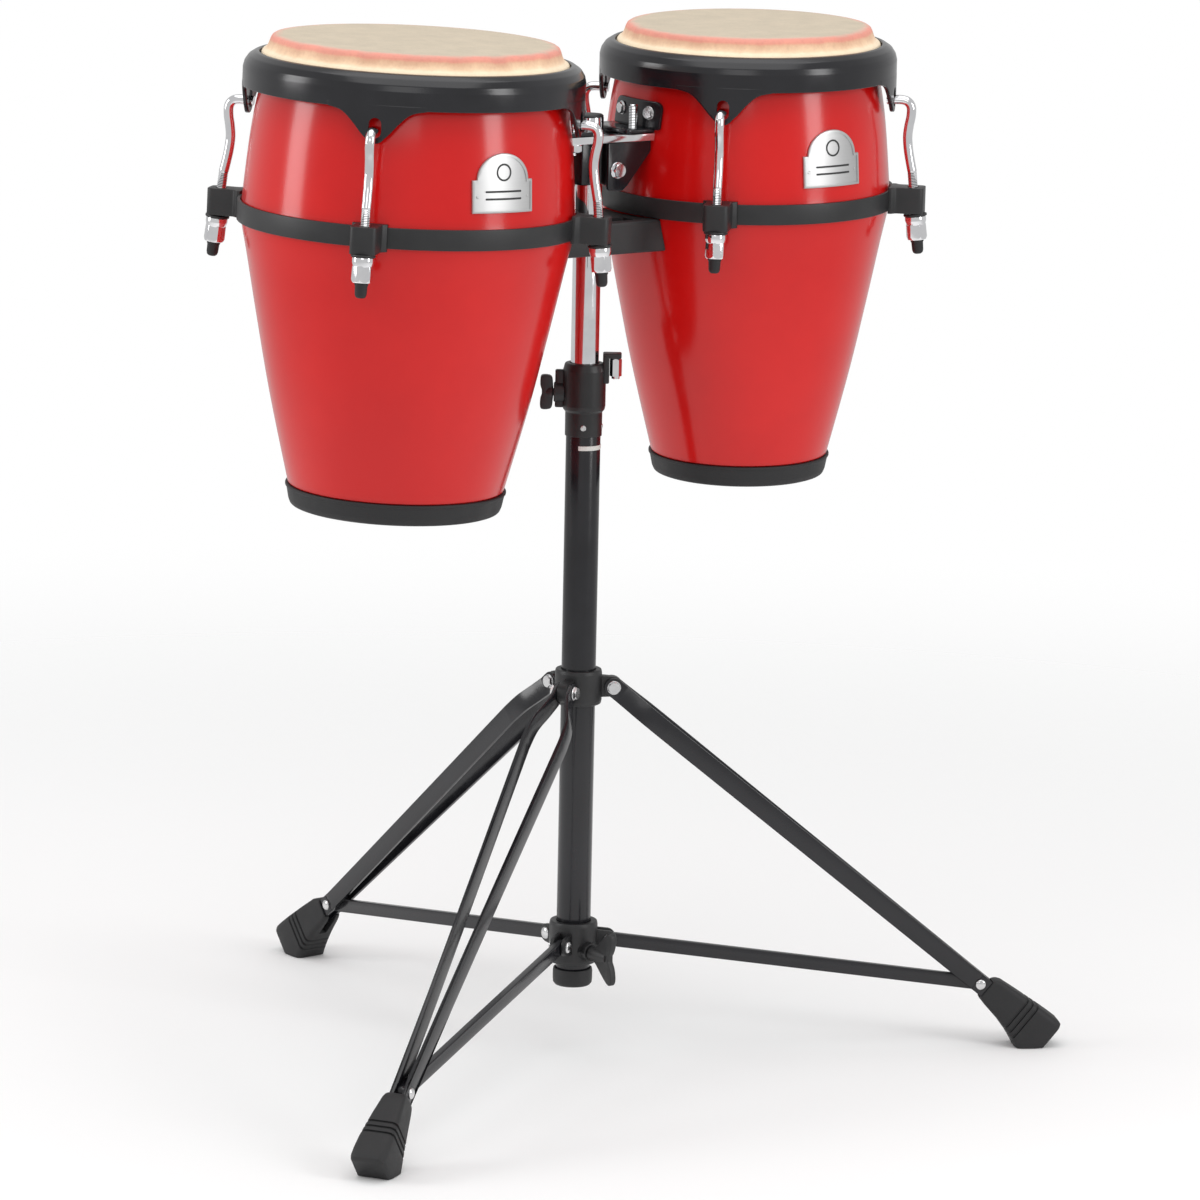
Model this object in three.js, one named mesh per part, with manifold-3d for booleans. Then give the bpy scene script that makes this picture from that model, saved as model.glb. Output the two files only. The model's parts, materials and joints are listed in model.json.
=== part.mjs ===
// A pair of small barrel drums, one large and one small, hung on a double drum stand.
// Millimetres, +Z up. The drums stand in a row along X, with their badges towards -Y.
// The stand is laid out around its post axis, and the last lines move the whole object
// so that the origin is the bottom centre of its box.

import * as THREE from 'three';
import { mergeVertices } from 'three/addons/utils/BufferGeometryUtils.js';
import Module from 'manifold-3d';

const wasm = await Module();
wasm.setup();

const DEG = Math.PI / 180;
const GAP = 0.3; // clearance between pieces that touch

// ---------------------------------------------------------------- driving dimensions

// Stand tubes
const TUBE_R = 13.7;
const TUBE_WALL = 1.2;
const TUBE_BOTTOM = 60;
const TUBE_TOP = 548;
const MAST_R = 11.1;
const MAST_BOTTOM = 292;
const MAST_TOP = 756;

// Tripod: leg, strut and sliding collar pivots, as distance from the post axis and height
const LEG_TURN = 1.6 * DEG;
const LEG_SPACING = 120 * DEG;
const FIRST_LEG = -30 * DEG;
const LEG_PIVOT = { r: 27.7, z: 301.3 };
const COLLAR_PIVOT = { r: 27.5, z: 93.9 };
const FOOT_PIVOT = { r: 333.8, z: 52.1 };
const LEG_NAMES = ['front_right', 'back', 'front_left'];

// Legs: two flat bars, apart at the top and together at the foot
const BAR_THICK = 3;
const BAR_DEEP = 15;
const EAR_HALF = 4.2;
const LEG_END = 442;
const FORK_END = 431;
const STRUT_THICK = 6;
const STRUT_DEEP = 11;
const PIN_R = 2.5;
const PIN_HOLE_R = 2.9;

// Drums: the large drum's sizes; the small drum's radii are SMALLER less
const DRUM_BASE_Z = 462.4;
const LARGE_X = -179.3;
const SMALL_X = 155.5;
const SMALLER = 12.7;
const LEAN_IN = 1.2 * DEG;
const LEAN_FRONT = 1.5 * DEG;
const DRUM_TURN = -2 * DEG;
const DRUM_SIDES = 28;
const SHELL_WALL = 7;
const HEAD_TOP = 361.8;
const BAND_LOW = 219;
const BAND_HIGH = 234.8;
const BAND_R = 131;
const HOOP_R = 130.7;
const HOOP_LOW = 322.2;
const LUG_COUNT = 4;
const ROD_R = 3.75;
const ROD_TILT = Math.atan(0.1043);

// Holder on the mast
const SHELF_LOW = 738.3;
const SHELF_THICK = 6;
const STUD = { large: -28, small: 30, y: -17, r: 3.75, top: 766 };
const BLOCK_LOW = 652;
const BLOCK_HIGH = 677.5;
const BLOCK_HALF = 40;

// ---------------------------------------------------------------- materials

const finish = (color, roughness, metalness) =>
  new THREE.MeshStandardMaterial({ color, roughness, metalness });

const redLacquer = finish(0xc81408, 0.12, 0);
const blackCoat = finish(0x26262a, 0.38, 0.2);
const blackCast = finish(0x1d1d1f, 0.5, 0.1);
const blackRubber = finish(0x202022, 0.75, 0);
const chrome = finish(0xd8d8dc, 0.12, 1);
const skin = finish(0xd8bfa0, 0.6, 0);
const nylon = finish(0xd9d9d4, 0.5, 0);

// ---------------------------------------------------------------- geometry helpers

// A closed mesh with shared vertices, as a solid that can be joined and cut.
function solid(geometry) {
  const bare = geometry.clone();
  bare.deleteAttribute('normal');
  bare.deleteAttribute('uv');
  const merged = mergeVertices(bare, 1e-4);
  const kept = [];
  const index = merged.index.array;
  for (let i = 0; i < index.length; i += 3) {
    const [a, b, c] = [index[i], index[i + 1], index[i + 2]];
    if (a !== b && b !== c && c !== a) kept.push(a, b, c);
  }
  return new wasm.Manifold(new wasm.Mesh({
    numProp: 3,
    vertProperties: merged.attributes.position.array,
    triVerts: new Uint32Array(kept),
  }));
}

function geometryOf(manifold) {
  const mesh = manifold.getMesh();
  const geometry = new THREE.BufferGeometry();
  geometry.setAttribute('position', new THREE.BufferAttribute(mesh.vertProperties, 3));
  geometry.setIndex(new THREE.BufferAttribute(mesh.triVerts, 1));
  geometry.computeVertexNormals();
  return geometry;
}

function piece(name, shape, material, parent) {
  const geometry = shape.isBufferGeometry ? shape : geometryOf(shape);
  const mesh = new THREE.Mesh(geometry, material);
  mesh.name = name;
  parent.add(mesh);
  return mesh;
}

// A solid of revolution about Z from a closed profile of [radius, height] points.
function turned(profile, sides = 20) {
  let area = 0;
  profile.forEach(([r, z], i) => {
    const [r2, z2] = profile[(i + 1) % profile.length];
    area += r * z2 - r2 * z;
  });
  const points = profile.map(([r, z]) => new THREE.Vector2(r, z));
  if (area < 0) points.reverse();
  points.push(points[0].clone());
  return solid(new THREE.LatheGeometry(points, sides).rotateX(Math.PI / 2));
}

const ring = (inner, outer, low, high, sides) =>
  turned([[inner, low], [outer, low], [outer, high], [inner, high]], sides);

const disc = (radius, low, high, sides) =>
  turned([[0, low], [radius, low], [radius, high], [0, high]], sides);

// A round bar along Y, centred on the axis.
const pin = (radius, from, to, sides = 12) =>
  disc(radius, from, to, sides).rotate([-90, 0, 0]);

// A round bar along X.
const spindle = (radius, from, to, sides = 12) =>
  disc(radius, from, to, sides).rotate([0, 90, 0]);

const box = (low, high) => solid(
  new THREE.BoxGeometry(high[0] - low[0], high[1] - low[1], high[2] - low[2]).translate(
    (low[0] + high[0]) / 2, (low[1] + high[1]) / 2, (low[2] + high[2]) / 2));

const outlineOf = (points) => new THREE.Shape(points.map(([x, y]) => new THREE.Vector2(x, y)));

// An outline in the XY plane with thickness along Z.
const slab = (points, low, high) => solid(
  new THREE.ExtrudeGeometry(outlineOf(points), { depth: high - low, bevelEnabled: false })
    .translate(0, 0, low));

// An outline in the XZ plane with thickness along Y.
const cheek = (points, low, high) => solid(
  new THREE.ExtrudeGeometry(outlineOf(points), { depth: high - low, bevelEnabled: false })
    .rotateX(Math.PI / 2).translate(0, high, 0));

const mirrored = (points) => points.map(([x, y]) => [x, -y]).reverse();

// Points of an arc, from one angle to another, about a centre.
function arc(cx, cy, radius, from, to, steps) {
  const points = [];
  for (let i = 0; i <= steps; i += 1) {
    const angle = from + (to - from) * i / steps;
    points.push([cx + radius * Math.cos(angle), cy + radius * Math.sin(angle)]);
  }
  return points;
}

// The outline of a flat link with round ends, from x = 0 to x = length.
const link = (length, radius) => [
  ...arc(length, 0, radius, -90 * DEG, 90 * DEG, 4),
  ...arc(0, 0, radius, 90 * DEG, 270 * DEG, 4),
];

function group(parent, position = [0, 0, 0], rotation = [0, 0, 0]) {
  const made = new THREE.Group();
  made.position.set(...position);
  made.rotation.set(...rotation);
  parent.add(made);
  return made;
}

const object = new THREE.Group();
const assembly = group(object);

// ---------------------------------------------------------------- post and collars

piece('outer_tube', ring(TUBE_R - TUBE_WALL, TUBE_R, TUBE_BOTTOM, TUBE_TOP), blackCoat, assembly);

const capOuter = TUBE_R + 2.2;
piece('tube_end_cap', turned([
  [0, 56.5], [capOuter - 2.5, 56.5], [capOuter, 59], [capOuter, 71],
  [TUBE_R + GAP, 71], [TUBE_R + GAP, TUBE_BOTTOM - GAP], [0, TUBE_BOTTOM - GAP],
]), blackRubber, assembly);

const legAngles = LEG_NAMES.map((_, i) => FIRST_LEG + LEG_TURN + LEG_SPACING * i);
const turnedBy = (shape, angle) => shape.rotate([0, 0, angle / DEG]);

// Upper collar: fixed to the tube, with one solid ear for each leg.
function spiderCollar() {
  let body = turned([
    [TUBE_R + GAP, 288], [18, 288], [18.8, 290], [18.8, 314], [18, 316], [TUBE_R + GAP, 316],
  ]);
  for (const angle of legAngles) {
    const ear = cheek([
      [16, 293], ...arc(LEG_PIVOT.r, LEG_PIVOT.z, 8, -80 * DEG, 80 * DEG, 4), [16, 310.5],
    ], -EAR_HALF, EAR_HALF).subtract(
      pin(PIN_HOLE_R, -10, 10).translate([LEG_PIVOT.r, 0, LEG_PIVOT.z]));
    body = body.add(turnedBy(ear, angle));
  }
  return body;
}
piece('spider_collar', spiderCollar(), blackCast, assembly);

// Lower collar: slides on the tube, with a forked ear for each strut and a screw boss in front.
const COLLAR_SCREW_Z = 88;
const COLLAR_SCREW_ANGLE = -90 * DEG;
function slidingCollar() {
  const inner = STRUT_THICK / 2 + 0.4;
  const outer = inner + 3;
  let body = turned([
    [TUBE_R + GAP, 76], [18.6, 76], [19.4, 78], [19.4, 108], [18.6, 110], [TUBE_R + GAP, 110],
  ]);
  for (const angle of legAngles) {
    const outline = [
      [16, 85], ...arc(COLLAR_PIVOT.r, COLLAR_PIVOT.z, 7.5, -80 * DEG, 80 * DEG, 4), [16, 103],
    ];
    const ears = cheek(outline, inner, outer).add(cheek(outline, -outer, -inner)).subtract(
      pin(PIN_HOLE_R, -10, 10).translate([COLLAR_PIVOT.r, 0, COLLAR_PIVOT.z]));
    body = body.add(turnedBy(ears, angle));
  }
  const boss = spindle(7.5, 16, 26).translate([0, 0, COLLAR_SCREW_Z]);
  const hole = spindle(3.6, 17, 30).translate([0, 0, COLLAR_SCREW_Z]);
  return body.add(turnedBy(boss, COLLAR_SCREW_ANGLE)).subtract(turnedBy(hole, COLLAR_SCREW_ANGLE));
}
piece('sliding_collar', slidingCollar(), blackCast, assembly);

// A wing screw along +X: its shank ends at x = 0 and its head starts at x = reach.
function wingScrew(shankR, reach, headLong, wingHalf) {
  const wing = cheek([
    [reach + 2, -3], [reach + headLong * 0.55, -wingHalf * 0.55], [reach + headLong, -wingHalf],
    [reach + headLong + 4, -wingHalf + 3], [reach + headLong, 0],
    [reach + headLong + 4, wingHalf - 3], [reach + headLong, wingHalf],
    [reach + headLong * 0.55, wingHalf * 0.55], [reach + 2, 3],
  ], -2.6, 2.6);
  return spindle(shankR, 0, reach + 1).add(spindle(6, reach, reach + headLong * 0.7)).add(wing);
}

// Clamp at the top of the outer tube, with a screw boss behind and a key lug beside it.
const CLAMP_LOW = 524;
const CLAMP_HIGH = 562;
const CLAMP_SCREW_Z = 538;
const CLAMP_SCREW_ANGLE = 143.5 * DEG;
const KEY_LUG_ANGLE = -36.5 * DEG;
const BUSH_TOP = TUBE_TOP + 3;
function mastClamp() {
  const sleeveLow = 504;
  const body = turned([
    [TUBE_R + GAP, sleeveLow], [14.9, sleeveLow], [14.9, CLAMP_LOW], [16.4, CLAMP_LOW + 1],
    [17, CLAMP_LOW + 3], [17, 557], [15.4, CLAMP_HIGH], [MAST_R + 0.8, CLAMP_HIGH],
    [MAST_R + 0.8, BUSH_TOP + GAP], [TUBE_R + GAP, BUSH_TOP + GAP],
  ]);
  const boss = spindle(8, 15.5, 24).translate([0, 0, CLAMP_SCREW_Z]);
  const hole = spindle(3.6, 17, 30).translate([0, 0, CLAMP_SCREW_Z]);
  const lug = box([15.5, -6.5, 546], [19.5, 6.5, 566]).add(box([15.5, -6.5, 566], [29, 6.5, 570]));
  return body.add(turnedBy(boss, CLAMP_SCREW_ANGLE)).add(turnedBy(lug, KEY_LUG_ANGLE))
    .subtract(turnedBy(hole, CLAMP_SCREW_ANGLE));
}
piece('mast_clamp', mastClamp(), blackCast, assembly);

const keyLug = group(assembly, [0, 0, 0], [0, 0, KEY_LUG_ANGLE]);
piece('clamp_key_bolt', disc(4.8, 551.5, 566 - GAP, 6), chrome, keyLug).position.x = 24.5;

const bushInner = MAST_R + 0.15;
const bushOuter = TUBE_R - TUBE_WALL - 0.35;
piece('mast_bush', turned([
  [bushInner, 506], [bushOuter, 506], [bushOuter, TUBE_TOP + GAP], [TUBE_R - GAP, TUBE_TOP + GAP],
  [TUBE_R - GAP, BUSH_TOP], [bushInner, BUSH_TOP],
]), nylon, assembly);

function screwGroup(angle, radius, z) {
  const x = radius * Math.cos(angle);
  const y = radius * Math.sin(angle);
  return group(assembly, [x, y, z], [0, 0, angle]);
}
piece('clamp_wing_bolt', wingScrew(3, 24.4 - 18, 7, 14), blackCoat,
  screwGroup(CLAMP_SCREW_ANGLE, 18, CLAMP_SCREW_Z));
piece('collar_wing_bolt', wingScrew(3, 26.4 - 17.6, 24, 17), blackCoat,
  screwGroup(COLLAR_SCREW_ANGLE, 17.6, COLLAR_SCREW_Z));

// ---------------------------------------------------------------- legs, struts and feet

const legSpan = Math.hypot(FOOT_PIVOT.r - LEG_PIVOT.r, FOOT_PIVOT.z - LEG_PIVOT.z);
const legDrop = Math.atan2(LEG_PIVOT.z - FOOT_PIVOT.z, FOOT_PIVOT.r - LEG_PIVOT.r);
const strutSpan = Math.hypot(FOOT_PIVOT.r - COLLAR_PIVOT.r, FOOT_PIVOT.z - COLLAR_PIVOT.z);
const strutDrop = Math.atan2(COLLAR_PIVOT.z - FOOT_PIVOT.z, FOOT_PIVOT.r - COLLAR_PIVOT.r);

// A leg along +X from its pivot: a long fork that straddles the ear and the strut.
function legShape() {
  const inner = EAR_HALF + GAP;
  const outer = inner + BAR_THICK;
  const gap = STRUT_THICK / 2 + 0.4;
  const bulge = 17;
  const halfFork = [
    [-BAR_DEEP, outer], [8, outer], [34, bulge - 1.2], [50, bulge], [70, bulge - 0.5],
    [legSpan - 22, gap + BAR_THICK], [LEG_END, gap + BAR_THICK], [LEG_END, 0], [FORK_END, 0],
    [FORK_END, gap], [legSpan - 22, gap], [70, bulge - BAR_THICK - 0.5], [50, bulge - BAR_THICK],
    [36, bulge - BAR_THICK - 1.2], [10, inner], [-BAR_DEEP, inner],
  ];
  const overlap = halfFork.map(([x, y]) => [x, y === 0 ? -0.5 : y]);
  const plan = slab(overlap, -20, 20).add(slab(mirrored(overlap), -20, 20));
  const side = cheek(link(LEG_END - 3, BAR_DEEP / 2), -30, 30).add(
    cheek([[LEG_END - 20, -7.5], [LEG_END, -7.5], [LEG_END, 7.5], [LEG_END - 20, 7.5]], -30, 30));
  const head = gap + BAR_THICK;
  const rivets = pin(4.2, head - 0.5, head + 2.6).add(pin(4.2, -head - 2.6, -head + 0.5));
  return plan.intersect(side)
    .subtract(pin(PIN_HOLE_R, -10, 10))
    .add(rivets.translate([legSpan, 0, 0]));
}

// A strut along +X from its collar pivot, with the pivot pin fixed in its inner end.
function strutShape() {
  const half = STRUT_THICK / 2;
  const earOuter = half + 3.4;
  return cheek(link(strutSpan, STRUT_DEEP / 2), -half, half)
    .add(pin(PIN_R, -earOuter - 1, earOuter + 1))
    .add(pin(4.8, earOuter + GAP, earOuter + 3))
    .add(pin(4.8, -earOuter - 3, -earOuter - GAP));
}

const legBolt = (() => {
  const headFrom = EAR_HALF + GAP + BAR_THICK + GAP;
  return pin(PIN_R, -headFrom - 1, headFrom + 1)
    .add(pin(5.4, headFrom, headFrom + 3.4, 6))
    .add(pin(5.4, -headFrom - 3.4, -headFrom, 6));
})();

// A rubber foot in the leg's upright plane: X away from the post, Z up, flat on the floor.
function footShape() {
  const profile = [
    [340.5, 34], [350, 21.5], [360, 8.5], [364.5, 0], [385, 0], [388, 3.5], [400.5, 18],
    [399, 21], [376.5, 37.5], [352, 54.3], [343, 55], [340, 48],
  ];
  const widths = [
    [336, 8.7], [350, 10.6], [362, 13], [376, 14.4], [388, 14.4], [397, 12.8], [403, 10],
  ];
  const plan = slab([...widths, ...mirrored(widths)], -5, 70);
  const gap = STRUT_THICK / 2 + 0.6;
  const half = STRUT_THICK / 2 + 0.4 + BAR_THICK + GAP;
  const socket = box([legSpan - 12, -half, -BAR_DEEP / 2 - GAP], [LEG_END + GAP, half, BAR_DEEP / 2 + GAP]);
  const slot = box([legSpan - 30, -gap, -34], [FORK_END + 1.5, gap, 34]);
  const hollow = socket.add(slot)
    .rotate([0, legDrop / DEG, 0]).translate([LEG_PIVOT.r, 0, LEG_PIVOT.z]);
  return cheek(profile, -30, 30).intersect(plan).subtract(hollow);
}

const leg = legShape();
const strut = strutShape();
const foot = footShape();
LEG_NAMES.forEach((name, i) => {
  const plane = group(assembly, [0, 0, 0], [0, 0, legAngles[i]]);
  const legGroup = group(plane, [LEG_PIVOT.r, 0, LEG_PIVOT.z], [0, legDrop, 0]);
  const strutGroup = group(plane, [COLLAR_PIVOT.r, 0, COLLAR_PIVOT.z], [0, strutDrop, 0]);
  piece(`leg_${name}`, leg, blackCoat, legGroup);
  piece(`leg_bolt_${name}`, legBolt, chrome, legGroup);
  piece(`strut_${name}`, strut, blackCoat, strutGroup);
  piece(`foot_${name}`, foot, blackRubber, plane);
});

// ---------------------------------------------------------------- drum outlines

// The shell's outside from the base ring to the bearing edge, as [radius, height] points.
function shellOutline(smaller, spans = 10) {
  const stations = [
    [83.6, 18], [100, 85], [111.8, 141], [121.5, 190], [127.8, 222], [127.2, 240],
    [122.7, 289], [117.2, 322], [110.8, 350],
  ];
  const curve = new THREE.SplineCurve(stations.map(([r, h]) => new THREE.Vector2(r - smaller, h)));
  return curve.getPoints(spans).map((p) => [p.x, p.y]);
}

function radiusAt(outline, height) {
  for (let i = 1; i < outline.length; i += 1) {
    const [r0, h0] = outline[i - 1];
    const [r1, h1] = outline[i];
    if (height <= h1) return r0 + (r1 - r0) * (height - h0) / (h1 - h0);
  }
  return outline[outline.length - 1][0];
}

// The stretch of the shell's outline between two heights, moved outwards by an offset.
function stretch(outline, low, high, offset) {
  const inside = outline.filter(([, h]) => h > low + 0.5 && h < high - 0.5);
  const all = [[radiusAt(outline, low), low], ...inside, [radiusAt(outline, high), high]];
  return all.map(([r, h]) => [r + offset, h]);
}

// A curved sheet that lies on the shell, all round.
const shellSkin = (outline, low, high, inner, outer) => turned([
  ...stretch(outline, low, high, outer), ...stretch(outline, low, high, inner).reverse(),
], DRUM_SIDES);

// The room the shell and its band take, with a clearance, for cutting the holder.
const drumRoom = (outline, smaller, clearance) => turned([
  [0, 150], ...stretch(outline, 150, 340, clearance), [0, 340],
], DRUM_SIDES).add(disc(BAND_R - smaller + clearance, BAND_LOW - clearance, BAND_HIGH + clearance,
  DRUM_SIDES));

const drums = {
  large: { x: LARGE_X, smaller: 0, toPost: 1 },
  small: { x: SMALL_X, smaller: SMALLER, toPost: -1 },
};
for (const drum of Object.values(drums)) {
  drum.outline = shellOutline(drum.smaller);
  const rotation = [LEAN_FRONT, LEAN_IN * drum.toPost, DRUM_TURN];
  drum.group = group(assembly, [drum.x, 0, DRUM_BASE_Z], rotation);
  drum.group.updateMatrix();
  drum.matrix = drum.group.matrix;
  drum.inverse = drum.matrix.clone().invert();
}
const outOfDrum = (drum, shape) => shape.transform(drum.matrix.elements);
const intoDrum = (drum, shape) => shape.transform(drum.inverse.elements);

// ---------------------------------------------------------------- mast and drum holder

piece('mast', ring(MAST_R - 1.5, MAST_R, MAST_BOTTOM, MAST_TOP), chrome, assembly);

const rooms = Object.values(drums).map((drum) =>
  outOfDrum(drum, drumRoom(drum.outline, drum.smaller, 0.9)));
const clearOfDrums = (shape) => rooms.reduce((kept, room) => kept.subtract(room), shape);
const studHole = (side, radius) =>
  disc(radius, 700, 800, 12).translate([STUD[side], STUD.y, 0]);

function shelfPlate() {
  const half = 31;
  const corner = 4;
  const outline = [[-58, -half + corner], [-54, -half], [50, -half], [54, -half + corner],
    [54, half - corner], [50, half], [-54, half], [-58, half - corner]];
  const blank = slab(outline, SHELF_LOW, SHELF_LOW + SHELF_THICK)
    .subtract(disc(MAST_R + GAP, 700, 800))
    .subtract(studHole('large', STUD.r + 0.4))
    .subtract(studHole('small', STUD.r + 0.4));
  return clearOfDrums(blank);
}
piece('shelf_plate', shelfPlate(), chrome, assembly);

// One arm: a tapered cheek beside the mast and the block that joins it to the mast.
function holderArm(reach) {
  const top = SHELF_LOW - GAP;
  const low = 700;
  const side = cheek([[-2, low], [12, low], [16, low + 3], [reach, top - 8], [reach, top], [-2, top]],
    -28.5, -25.5);
  const block = box([2, -26, low + 4], [17, 14, top]);
  return side.add(block).subtract(disc(MAST_R + GAP, 600, 800));
}
piece('holder_arm_small', clearOfDrums(holderArm(39)), blackCoat, assembly);
piece('holder_arm_large', clearOfDrums(turnedBy(holderArm(47), Math.PI)), blackCoat, assembly);

for (const side of Object.keys(drums)) {
  const under = SHELF_LOW - GAP;
  const stud = disc(STUD.r, under - 9, STUD.top, 12).add(disc(6.6, under - 7, under, 6));
  piece(`holder_stud_${side}`, stud, chrome, assembly).position.set(STUD[side], STUD.y, 0);
}

function bridgeBlock() {
  const corner = 3;
  const outline = [
    [-80, -BLOCK_HALF + corner], [-77, -BLOCK_HALF], [77, -BLOCK_HALF], [80, -BLOCK_HALF + corner],
    [80, BLOCK_HALF - corner], [77, BLOCK_HALF], [-77, BLOCK_HALF], [-80, BLOCK_HALF - corner],
  ];
  return clearOfDrums(slab(outline, BLOCK_LOW, BLOCK_HIGH).subtract(disc(MAST_R + GAP, 600, 700)));
}
piece('bridge_block', bridgeBlock(), blackRubber, assembly);

// ---------------------------------------------------------------- drum pieces

const INSIDE_SPANS = 6;
function shell(outline, smaller) {
  const foot = [[80.4 - smaller, 5], [81.9 - smaller, 17.4]];
  const edge = [[108.2 - smaller, 357], [105.4 - smaller, 359.2], [102 - smaller, 357]];
  const inside = shellOutline(smaller, INSIDE_SPANS).map(([r, h]) => [r - SHELL_WALL, h]).reverse();
  return turned([...foot, ...outline, ...edge, ...inside, [80.4 - SHELL_WALL - smaller, 5]],
    DRUM_SIDES);
}

function drumHead(smaller) {
  return turned([
    [0, HEAD_TOP], [105.8, HEAD_TOP], [108.8, 361], [110.6, 358.4], [112.8, 352.4], [115.4, 349.6],
    [117.2, 346.6], [117.4, 342.6], [116.9, 339], [115.3, 339], [114.6, 342.6], [111.6, 350.4],
    [109, 357.4], [105.8, 359.9], [0, 359.9],
  ].map(([r, h]) => [Math.max(0, r - (r > 0 ? smaller : 0)), h]), DRUM_SIDES);
}

// The hoop rolls in over the head's edge and carries four pointed plates for the rods.
function hoop(smaller) {
  const wall = 3.5;
  const radius = HOOP_R - smaller;
  const rolled = turned([
    [radius, HOOP_LOW], [radius, 336], [radius - 1.1, 340.5], [radius - 4.1, 345],
    [radius - 8.7, 347.9], [radius - 12.1, 348.6], [radius - 12.5, 346.8], [radius - 12.5, 345.2],
    [radius - 9.3, 344.4], [radius - 5.5, 341.4], [radius - wall - 0.2, 336.5],
    [radius - wall, HOOP_LOW],
  ], DRUM_SIDES);
  const sleeve = ring(radius - wall, radius, 290, 330, DRUM_SIDES);
  const outline = [
    [-38, 324], [-38, HOOP_LOW], [-21.5, 315], ...arc(0, 305.5, 8.4, 215 * DEG, 325 * DEG, 6),
    [21.5, 315], [38, HOOP_LOW], [38, 324],
  ];
  const blade = solid(new THREE.ExtrudeGeometry(outlineOf(outline), { depth: 40, bevelEnabled: false })
    .rotateX(Math.PI / 2).rotateZ(Math.PI / 2).translate(radius - 20, 0, 0));
  const hole = spindle(5.2, radius - 20, radius + 20).translate([0, 0, 305.6]);
  const tongue = sleeve.intersect(blade).subtract(hole);
  let body = rolled;
  for (const angle of lugAngles) body = body.add(turnedBy(tongue, angle));
  return body;
}

const lugAngles = Array.from({ length: LUG_COUNT }, (_, i) => (-135 + 90 * i) * DEG);

// The rod's straight lower end leans out; this is its distance from the drum axis.
const rodRadius = (smaller, height) => 148.2 - smaller + (232 - height) * Math.tan(ROD_TILT);

function band(smaller) {
  const radius = BAND_R - smaller;
  let body = ring(radius - 2.6, radius, BAND_LOW, BAND_HIGH, DRUM_SIDES);
  const reach = 157 - smaller;
  const hole = disc(ROD_R + 0.9, -20, 20, 12).rotate([0, -ROD_TILT / DEG, 0])
    .translate([rodRadius(smaller, 227), 0, 227]);
  const bracket = slab([
    [radius - 2, -10], [reach - 2, -10], [reach, -8], [reach, 8], [reach - 2, 10], [radius - 2, 10],
  ], 216.8, 237.4).subtract(hole);
  for (const angle of lugAngles) body = body.add(turnedBy(bracket, angle));
  return body;
}

function baseRing(smaller) {
  return turned([
    [72.5, 0], [78.6, 0], [81.2, 1.6], [82.6, 5], [85.2, 16], [84.9, 17.2], [82.6, 17.2],
    [80.9, 4.7], [72.5, 4.7],
  ].map(([r, h]) => [r - smaller, h]), DRUM_SIDES);
}

// A tension rod in the XZ plane: a hook through the hoop, a swan neck and a straight end.
function tensionRod(smaller) {
  const hook = [[124.8, 305.8], [136, 306.3], [143.4, 304.8], [147, 299], [145.6, 290.5],
    [143.5, 281], [144, 268], [145.7, 254]];
  const straight = [232, 214, 197.5, 186].map((h) => [rodRadius(0, h), h]);
  const route = new THREE.CatmullRomCurve3(
    [...hook, ...straight].map(([r, h]) => new THREE.Vector3(r - smaller, 0, h)));
  const section = outlineOf(arc(0, 0, ROD_R, 0, 315 * DEG, 7));
  return solid(new THREE.ExtrudeGeometry(section, { steps: 14, extrudePath: route, bevelEnabled: false }));
}

const TUNING_NUT_Z = 205.2;
const tuningNut = turned([
  [4.4, -10], [7.2, -10], [8.5, 8], [8.5, 10], [4.4, 10],
], 12);

// A small shield lying on the shell, a little aside of its front: a wide foot with a narrower dome.
const BADGE_SHIFT = 2.5;
function badge(outline) {
  const foot = 27;
  const dome = 23;
  const low = 246.8;
  const step = 271.5;
  const crest = 19.7;
  const arch = arc(0, 0, 1, 0, Math.PI, 12).map(([x, y]) => [x * dome, step + y * crest]);
  const cutter = cheek([[-foot, low], [foot, low], [foot, step], ...arch, [-foot, step]], -140, -60)
    .translate([BADGE_SHIFT, 0, 0]);
  return shellSkin(outline, low - 2, step + crest + 2, GAP, 1.6).intersect(cutter);
}

// The drum's own bracket: a curved pad on the shell and a flange that rests on the shelf.
function drumBracket(drum, side) {
  const low = SHELF_LOW + SHELF_THICK + GAP;
  const edge = 14 * -drum.toPost;
  const far = drum.x + 100 * drum.toPost;
  const pad = shellSkin(drum.outline, 286, 317, GAP, 3.4).intersect(
    intoDrum(drum, box([far - 60, -30, 700], [far + 60, 30, 800])));
  const flange = box([Math.min(edge, far), -30, low], [Math.max(edge, far), 30, low + 3])
    .subtract(studHole(side, STUD.r + 0.6));
  const room = turned([[0, 250], ...stretch(drum.outline, 250, 320, GAP), [0, 320]], DRUM_SIDES);
  return pad.add(intoDrum(drum, flange)).subtract(room);
}

for (const [side, drum] of Object.entries(drums)) {
  const { smaller, outline } = drum;
  piece(`${side}_shell`, shell(outline, smaller), redLacquer, drum.group);
  piece(`${side}_head`, drumHead(smaller), skin, drum.group);
  piece(`${side}_hoop`, hoop(smaller), blackCoat, drum.group);
  piece(`${side}_band`, band(smaller), blackCoat, drum.group);
  piece(`${side}_base_ring`, baseRing(smaller), blackRubber, drum.group);
  piece(`${side}_badge`, badge(outline), chrome, drum.group);
  piece(`${side}_bracket`, drumBracket(drum, side), blackCoat, drum.group);
  const rod = tensionRod(smaller);
  lugAngles.forEach((angle, i) => {
    const lug = group(drum.group, [0, 0, 0], [0, 0, angle]);
    piece(`${side}_rod_${i + 1}`, rod, chrome, lug);
    const nut = piece(`${side}_nut_${i + 1}`, tuningNut, chrome, lug);
    nut.position.set(rodRadius(smaller, TUNING_NUT_Z), 0, TUNING_NUT_Z);
    nut.rotation.y = -ROD_TILT;
  });
}

// ---------------------------------------------------------------- origin

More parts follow.
